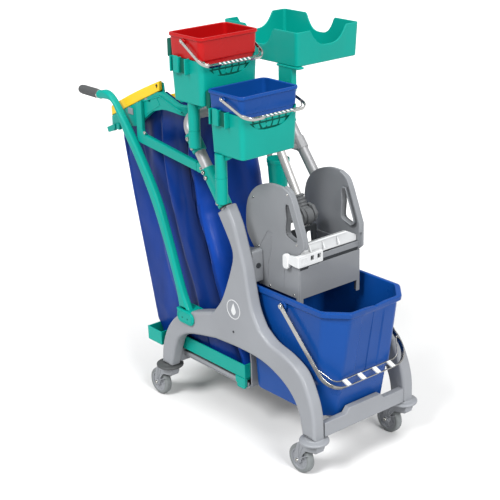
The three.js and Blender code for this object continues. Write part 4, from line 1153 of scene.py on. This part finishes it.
def lever():
    place = Matrix.Translation((LEVER["x"], LEVER["y"], LEVER["z"]))
    turn = place @ Matrix.Rotation(math.radians(LEVER["lean"]), 4, "Y")
    tube = turned([(0.1, 30), (LEVER["r"], 30), (LEVER["r"], 268), (0.1, 268)], sides=32)
    piece("lever_pipe", moved(tube, turn), "lever", "alloy", ("lever_tube",))
    grip = turned([(0.1, 262), (15.5, 262), (18, 268), (17.2, 300), (18, 340), (17.5, 362), (14, 370),
                   (0.1, 372)])
    piece("lever_sleeve", moved(grip, turn), "lever", "dark", ("lever_grip",))
    rings = []
    for k in range(5):
        rings += [(19, 20 + k * 11), (22.5, 23 + k * 11), (22.5, 27 + k * 11), (19, 30 + k * 11)]
    socket = moved(turned([(0.1, 14), *rings, (17, 74), (0.1, 74)], sides=32), turn)
    barrel = turned([(0.1, -34), (24, -34), (25, -32), (25, -15), (31, -13), (31, 13), (25, 15), (25, 32),
                     (24, 34), (0.1, 34)], (LEVER["x"], LEVER["y"], LEVER["z"]), "Y", 40)
    shaft = rod(9, -152, 52, (LEVER["x"], LEVER["y"], LEVER["z"]), "Y", 1, 24)
    wing = slab(outline((-26, -8), [(-34, 20), (-10, 40)], [(14, 36)], [(30, 10), (24, -14)]), -30, -18, 2.5)
    wings = [moved(wing, place), moved(wing, place @ Matrix.Translation((0, 48, 0)))]
    piece("lever_hub_body", merge(socket, barrel, shaft, *wings), "lever", "hub", ("lever_hub",))


def jaw():
    half = 115.7
    holes = [rounded(k * 42 - 12, k * 42 + 12, 620, 690, 4) for k in (-2, -1, 0, 1, 2)]
    blade = wall(rounded(-half, half, 590, 710, 6), 106, 114, 2, holes)
    roll = rod(7, -half, half, (116, 0, 586), "Y", 1)
    ribs = [block((113, k * 42 + 19, 596), (119, k * 42 + 23, 702), 1) for k in (-2, -1, 0, 1)]
    # painted shade: the jaw stands deep in the wringer and is coloured in the shadow grey
    piece("jaw_blade", merge(blade, roll, *ribs), "jaw", "painted_shadow_grey", ("press_jaw",))


def brackets():
    edge = outline((70, 574), [(118, 576)], [(126, 578), (128, 590)], [(126, 674)], [(124, 684), (112, 686)],
                   [(56, 676)])
    for side, sign in SIDES:
        piece(f"bracket_body_{side}", sided(slab(edge, -179.5, -135, 3), sign), "frame", "wringer",
              (f"wringer_bracket_{side}",))
        head = rod(9, -3, 1, (92, -179, 634), "Y", 1)
        front = turned([(0.1, 0), (9, 0), (9, 3), (5, 3), (4, 1), (0.1, 1)], (127.5, -157, 634), "X", 20)
        piece(f"bracket_bolt_{side}", sided(merge(head, front), sign), "frame", "painted_shadow_grey")


# ---------- small pails ----------
def scooped(top, depth, share):
    """A rim's height where it dips; share is 0 in the middle of the dip and 1 at its ends."""
    return top - depth * (1 - share ** 3)


HOLDER_SCOOP = 56                              # how far the front of a holder's rim dips
HOLDER_DRAFT = 6                               # how far a holder's walls lean in towards its floor
POST_SHOULDER = {"blue": 76.3, "red": 47.3}    # the step on a holder's post, above the post's foot
BAIL_HANG = {"blue": 20, "red": 31}            # how far a pail's bail hangs below level, in degrees
BAIL_REACH = 130


def holder(name):
    body = name + "_stand"
    x0, x1, y0, y1, z0, z1 = spans(name + "_holder")
    mx, my = (x0 + x1) / 2, (y0 + y1) / 2
    half = (y1 - y0) / 2 - 11

    def top(x, y):
        share = abs(y - my) / half
        return scooped(z1, HOLDER_SCOOP, share) if share < 1 and x > x1 - 14 else z1

    def ring(inset, radius, z=None):
        loop = plan_loop(x0 + inset - mx, x1 - inset - mx, (y1 - y0) / 2 - inset, radius, 4, 22)
        return [(mx + x, my + y, top(mx + x, my + y) if z is None else z) for x, y in loop]
    rows = [ring(HOLDER_DRAFT + 3, 10, z0), ring(HOLDER_DRAFT, 14, z0 + 2.5), ring(0, 16), ring(3.5, 12.5),
            ring(HOLDER_DRAFT + 4, 9, z0 + 6)]
    piece(name + "_holder_shell", skin(rows), body, "teal", (name + "_holder",), angle=40)
    holder_lattice(name, body, my, half, x1, z1)
    first = block((x1 - 9, my - half - 2, z1 - 4), (x1 - 2, my - half + 8, z1), 1)
    holder_clips(name, body, first, x0, y0, z1)
    holder_post(name, body, z0)


def holder_lattice(name, body, middle, half, x1, z1):
    """The lattice across a holder's scooped front: two rows of leaning panels on a sheet of painted shade."""
    smile = [(middle + half * s, scooped(z1 - 3, HOLDER_SCOOP, abs(s)))
             for s in [k / 12 for k in range(-12, 13)]]
    # painted shade: a dark sheet behind the panels, where the scoop's recess lies in shade
    back = wall(smile + [(middle + half, z1 - 2), (middle - half, z1 - 2)], x1 - 9, x1 - 6, 0.5)
    piece(name + "_lattice_shade", back, body, "painted_shade_teal")
    panels = []
    for z, count, shear in ((z1 - 21, 7, 3), (z1 - 42, 5, 8)):
        for k in range(count):
            y = middle + (k - (count - 1) / 2) * 28
            lean = shear * (1 if y < middle else -1)
            face = [(y - 10 + lean, z - 8), (y + 10 + lean, z - 8), (y + 11, z + 8), (y - 11, z + 8)]
            panels.append(wall(face, x1 - 7, x1 - 3.5, 0.8))
    piece(name + "_lattice", merge(*panels), body, "teal")


def holder_clips(name, body, first, x0, y0, z1):
    """The upright clips on a holder's near face with a sheet of painted shadow behind them, and the hook at
    its rear in the painted shade teal.
    """
    near = y0 - 14
    foot = z1 - 46
    ribs = [first]
    for x, depth in ((x0 + 20, 0), (x0 + 34, -3), (x0 + 58, -3), (x0 + 100, 3)):
        ribs.append(slab(rounded(x - 2.5, x + 2.5, foot, z1 + 5, 2), near - depth, y0 + 4, 1.2))
    ribs.append(block((x0 + 34, near + 2, foot), (x0 + 58, near + 6, z1 + 8), 1.5))
    piece(name + "_clips", merge(*ribs), body, "teal")
    piece(name + "_clip_shadow", block((x0 + 22, y0 - 4, foot), (x0 + 98, y0 + 1, z1 + 1), 1), body,
          "painted_shade_teal")
    # painted shade: the rear hook is coloured in the shaded copy of the teal
    hook = block((x0 - 14, y0 + 2, z1 - 5), (x0 + 6, y0 + 20, z1 + 54), 4)
    piece(name + "_rear_hook", hook, body, "painted_shade_teal")


def holder_post(name, body, z0):
    """The post under a holder, with a stiffening flag below the holder's floor."""
    x0, x1, y0, y1, low, high = spans(name + "_post")
    px, py = (x0 + x1) / 2, (y0 + y1) / 2
    shoulder = low + POST_SHOULDER[name]
    shape = turned([(0.1, low), (16, low), (16, shoulder), (18.5, shoulder), (19.5, shoulder + 1),
                    (19.5, high), (0.1, high)], (px, py, 0), sides=36)
    flag = slab([(px + 8, z0 + 1), (px + 62, z0 + 1), (px + 40, z0 - 12), (px + 14, z0 - 24)], py + 2,
                py + 8, 1.5)
    piece(name + "_post_tube", merge(shape, flag), body, "teal", (name + "_post",))


def pail(name):
    x0, x1, y0, y1, z0, rim = spans(name + "_bucket")
    mx, my = (x0 + x1) / 2, (y0 + y1) / 2
    hx, hy = (x1 - x0) / 2, (y1 - y0) / 2 - 2
    left, right, near, far, _, step = spans(name + "_holder")
    gx, gy = (right - left) / 2, (far - near) / 2
    step += 2

    def ring(sx, sy, radius, z):
        return [(mx + x, my + y, z) for x, y in plan_loop(-sx, sx, sy, radius, 6, 6)]
    rows = [ring(gx - 15, gy - 15, 12, z0), ring(gx - 12, gy - 12, 14, z0 + 3),
            ring(gx - 5.5, gy - 5.5, 15, step - 6), ring(gx - 4.5, gy - 4.5, 16, step - 1),
            ring(gx - 1.5, gy - 1.5, 18, step + 1), ring(hx - 5, hy - 4, 19, rim - 10.5),
            ring(hx - 1.5, hy - 1.5, 20, rim - 10.5), ring(hx, hy, 22, rim - 9), ring(hx, hy, 22, rim - 2.5),
            ring(hx - 1, hy - 1, 21, rim - 0.6), ring(hx - 3, hy - 3, 19, rim), ring(hx - 7, hy - 7, 15, rim),
            ring(hx - 9, hy - 9, 13, rim - 2), ring(gx - 5, gy - 5, 14, step + 3),
            ring(gx - 9, gy - 9, 11, step - 4), ring(gx - 15, gy - 15, 11, z0 + 5)]
    body = name + "_pail"
    piece(name + "_pail_shell", skin(rows), body, name, (name + "_bucket",), angle=36)
    ears = [turned([(0.1, 0), (9, 0), (9, s * 5), (8, s * 6.5), (0.1, s * 6.5)],
                   (mx, my + s * (hy - 4.5), rim - 20), "Y", 24) for s in (1, -1)]
    piece(name + "_pail_ears", merge(*ears), body, name)
    pail_bail(name, hy + 6, (mx, my, rim - 20, BAIL_HANG[name]))


def pail_bail(name, half, place):
    strap = bail_shape(half, BAIL_REACH, 36, 10, 3, 60, 11)
    pins = [rod(3, -4, 4, (0, s * (half - 4), 0), "Y", 0.4, 12) for s in (-1, 1)]
    heads = [rod(5, -1, 1, (0, s * (half + 2), 0), "Y", 0.4, 14) for s in (-1, 1)]
    body = name + "_pail_bail"
    piece(name + "_bail_strap", hung(merge(strap, *pins, *heads), *place), body, "steel", (name + "_bail",))
    grip = grip_shape(58, BAIL_REACH, 11, 3.6, 8, 4)
    piece(name + "_bail_grip", hung(grip, *place), body, "white")


# ---------- tray and mop holder ----------
TRAY_SCOOPS = (74, 62), (84, 56)     # half width and depth of the dips in the long and the short walls


def tray():
    x0, x1, y0, y1, z0, z1 = spans("tool_tray")
    mx, my = (x0 + x1) / 2, (y0 + y1) / 2
    (long_half, long_depth), (short_half, short_depth) = TRAY_SCOOPS

    def top(x, y):
        if min(abs(y - y0), abs(y - y1)) < 12 and abs(x - mx) < long_half:
            return scooped(z1, long_depth, abs(x - mx) / long_half)
        if min(abs(x - x0), abs(x - x1)) < 12 and abs(y - my) < short_half:
            return scooped(z1, short_depth, abs(y - my) / short_half)
        return z1

    def ring(inset_by, radius, z, lift=0.0):
        loop = plan_loop(x0 + inset_by - mx, x1 - inset_by - mx, (y1 - y0) / 2 - inset_by, radius, 4, 56)
        return [(mx + x, my + y, top(mx + x, my + y) - lift if z is None else z) for x, y in loop]
    rows = [ring(8, 10, z0), ring(5, 13, z0 + 3), ring(0.2, 14, None, 8), ring(0, 14, None, 7),
            ring(0, 14, None, 1), ring(1, 13, None), ring(4, 10, None), ring(5, 9, None, 1),
            ring(9.5, 9, z0 + 6), ring(12, 7, z0 + 4)]
    piece("tray_shell", skin(rows), "tray_stand", "teal", ("tool_tray",), angle=40)
    tray_post()


def tray_post():
    x0, x1, y0, y1, z0, z1 = spans("tray_post")
    px, py = (x0 + x1) / 2, (y0 + y1) / 2
    shaft = rod(16, z0, 1110, (px, py, 0), "Z", 1, 28)
    plate = block((x0, py - 12, 1098), (x1, py + 12, z1), 4)
    foot = block((x0 - 6, py - 14, z1 - 8), (x1 + 34, py + 14, z1), 2)
    piece("tray_mast", merge(shaft, plate, foot), "tray_stand", "teal", ("tray_post",))


def mop_cup():
    x0, x1, y0, y1, z0, z1 = spans("mop_handle_cup")
    x, y, r = (x0 + x1) / 2, (y0 + y1) / 2, (x1 - x0) / 2
    shell = turned([(0.1, z0), (29, z0), (30, z0 + 2), (r - 2.5, z1 - 14), (r - 0.3, z1 - 13), (r, z1 - 11),
                    (r, z1 - 1), (r - 1, z1), (r - 3, z1), (r - 4, z1 - 2), (27, z0 + 5), (0.1, z0 + 4)],
                   (x, y, 0), sides=48)
    piece("cup_shell", shell, "frame", "teal", ("mop_handle_cup",))


# ---------- studio ----------
CAMERA_ANGLES = (50.2271, 20.5651, -1.2767)      # from the near side towards the front, up, and roll
CAMERA_PLACE = (3091.1, -2657.8, 2143.2)
CAMERA_LENS = 92.08
SUNS = (                                          # azimuth, elevation, strength, softness
    ("key", -84, 44, 3.6, 22),
    ("front", -8, 34, 3.4, 26),
    ("top", 60, 80, 1.6, 50),
)
FLOOR_REACH = 30                                  # metres


def camera():
    azimuth, elevation, roll = (math.radians(angle) for angle in CAMERA_ANGLES)
    back = Vector((math.sin(azimuth) * math.cos(elevation), -math.cos(azimuth) * math.cos(elevation),
                   math.sin(elevation)))
    level = Vector((math.cos(azimuth), math.sin(azimuth), 0))
    rise = back.cross(level)
    right = level * math.cos(roll) + rise * math.sin(roll)
    up = rise * math.cos(roll) - level * math.sin(roll)
    data = bpy.data.cameras.new("photo_camera")
    data.sensor_width = 36
    data.lens = CAMERA_LENS
    data.clip_end = 50
    view = bpy.data.objects.new("photo_camera", data)
    bpy.context.collection.objects.link(view)
    facing = Matrix((right, up, back)).transposed().to_4x4()
    view.matrix_world = Matrix.Translation(at(*CAMERA_PLACE)) @ facing
    bpy.context.scene.camera = view


def soft_sun(name, azimuth, elevation, strength, softness):
    """A distant light from a compass angle, measured from +X towards +Y."""
    data = bpy.data.lights.new(name, "SUN")
    data.energy = strength
    data.angle = math.radians(softness)
    lamp = bpy.data.objects.new(name, data)
    turn, rise = math.radians(azimuth), math.radians(elevation)
    towards = Vector((math.cos(turn) * math.cos(rise), math.sin(turn) * math.cos(rise), math.sin(rise)))
    lamp.rotation_euler = towards.to_track_quat("Z", "Y").to_euler()
    bpy.context.collection.objects.link(lamp)


def studio():
    world = bpy.data.worlds.new("studio")
    world.use_nodes = True
    world.node_tree.nodes["Background"].inputs["Color"].default_value = (1, 1, 1, 1)
    world.node_tree.nodes["Background"].inputs["Strength"].default_value = 0.45
    bpy.context.scene.world = world
    for sun in SUNS:
        soft_sun(*sun)
    mesh = bpy.data.meshes.new("floor")
    reach = FLOOR_REACH
    mesh.from_pydata([(-reach, -reach, 0), (reach, -reach, 0), (reach, reach, 0), (-reach, reach, 0)], [],
                     [(0, 1, 2, 3)])
    mesh.materials.append(pale_floor())
    floor = bpy.data.objects.new("floor", mesh)
    bpy.context.collection.objects.link(floor)
    bpy.context.scene.view_settings.view_transform = "Standard"


camera()
studio()
side_frames()
badge()
base()
casters()
mast()
clamps()
push_handle()
handle_foot()
bag_arms()
hoop()
clamp_bar()
bag()
platform()
mop_bucket()
mop_bail()
wringer_sides()
wringer_body()
latch()
lever()
jaw()
brackets()
for colour in ("blue", "red"):
    holder(colour)
    pail(colour)
tray()
mop_cup()
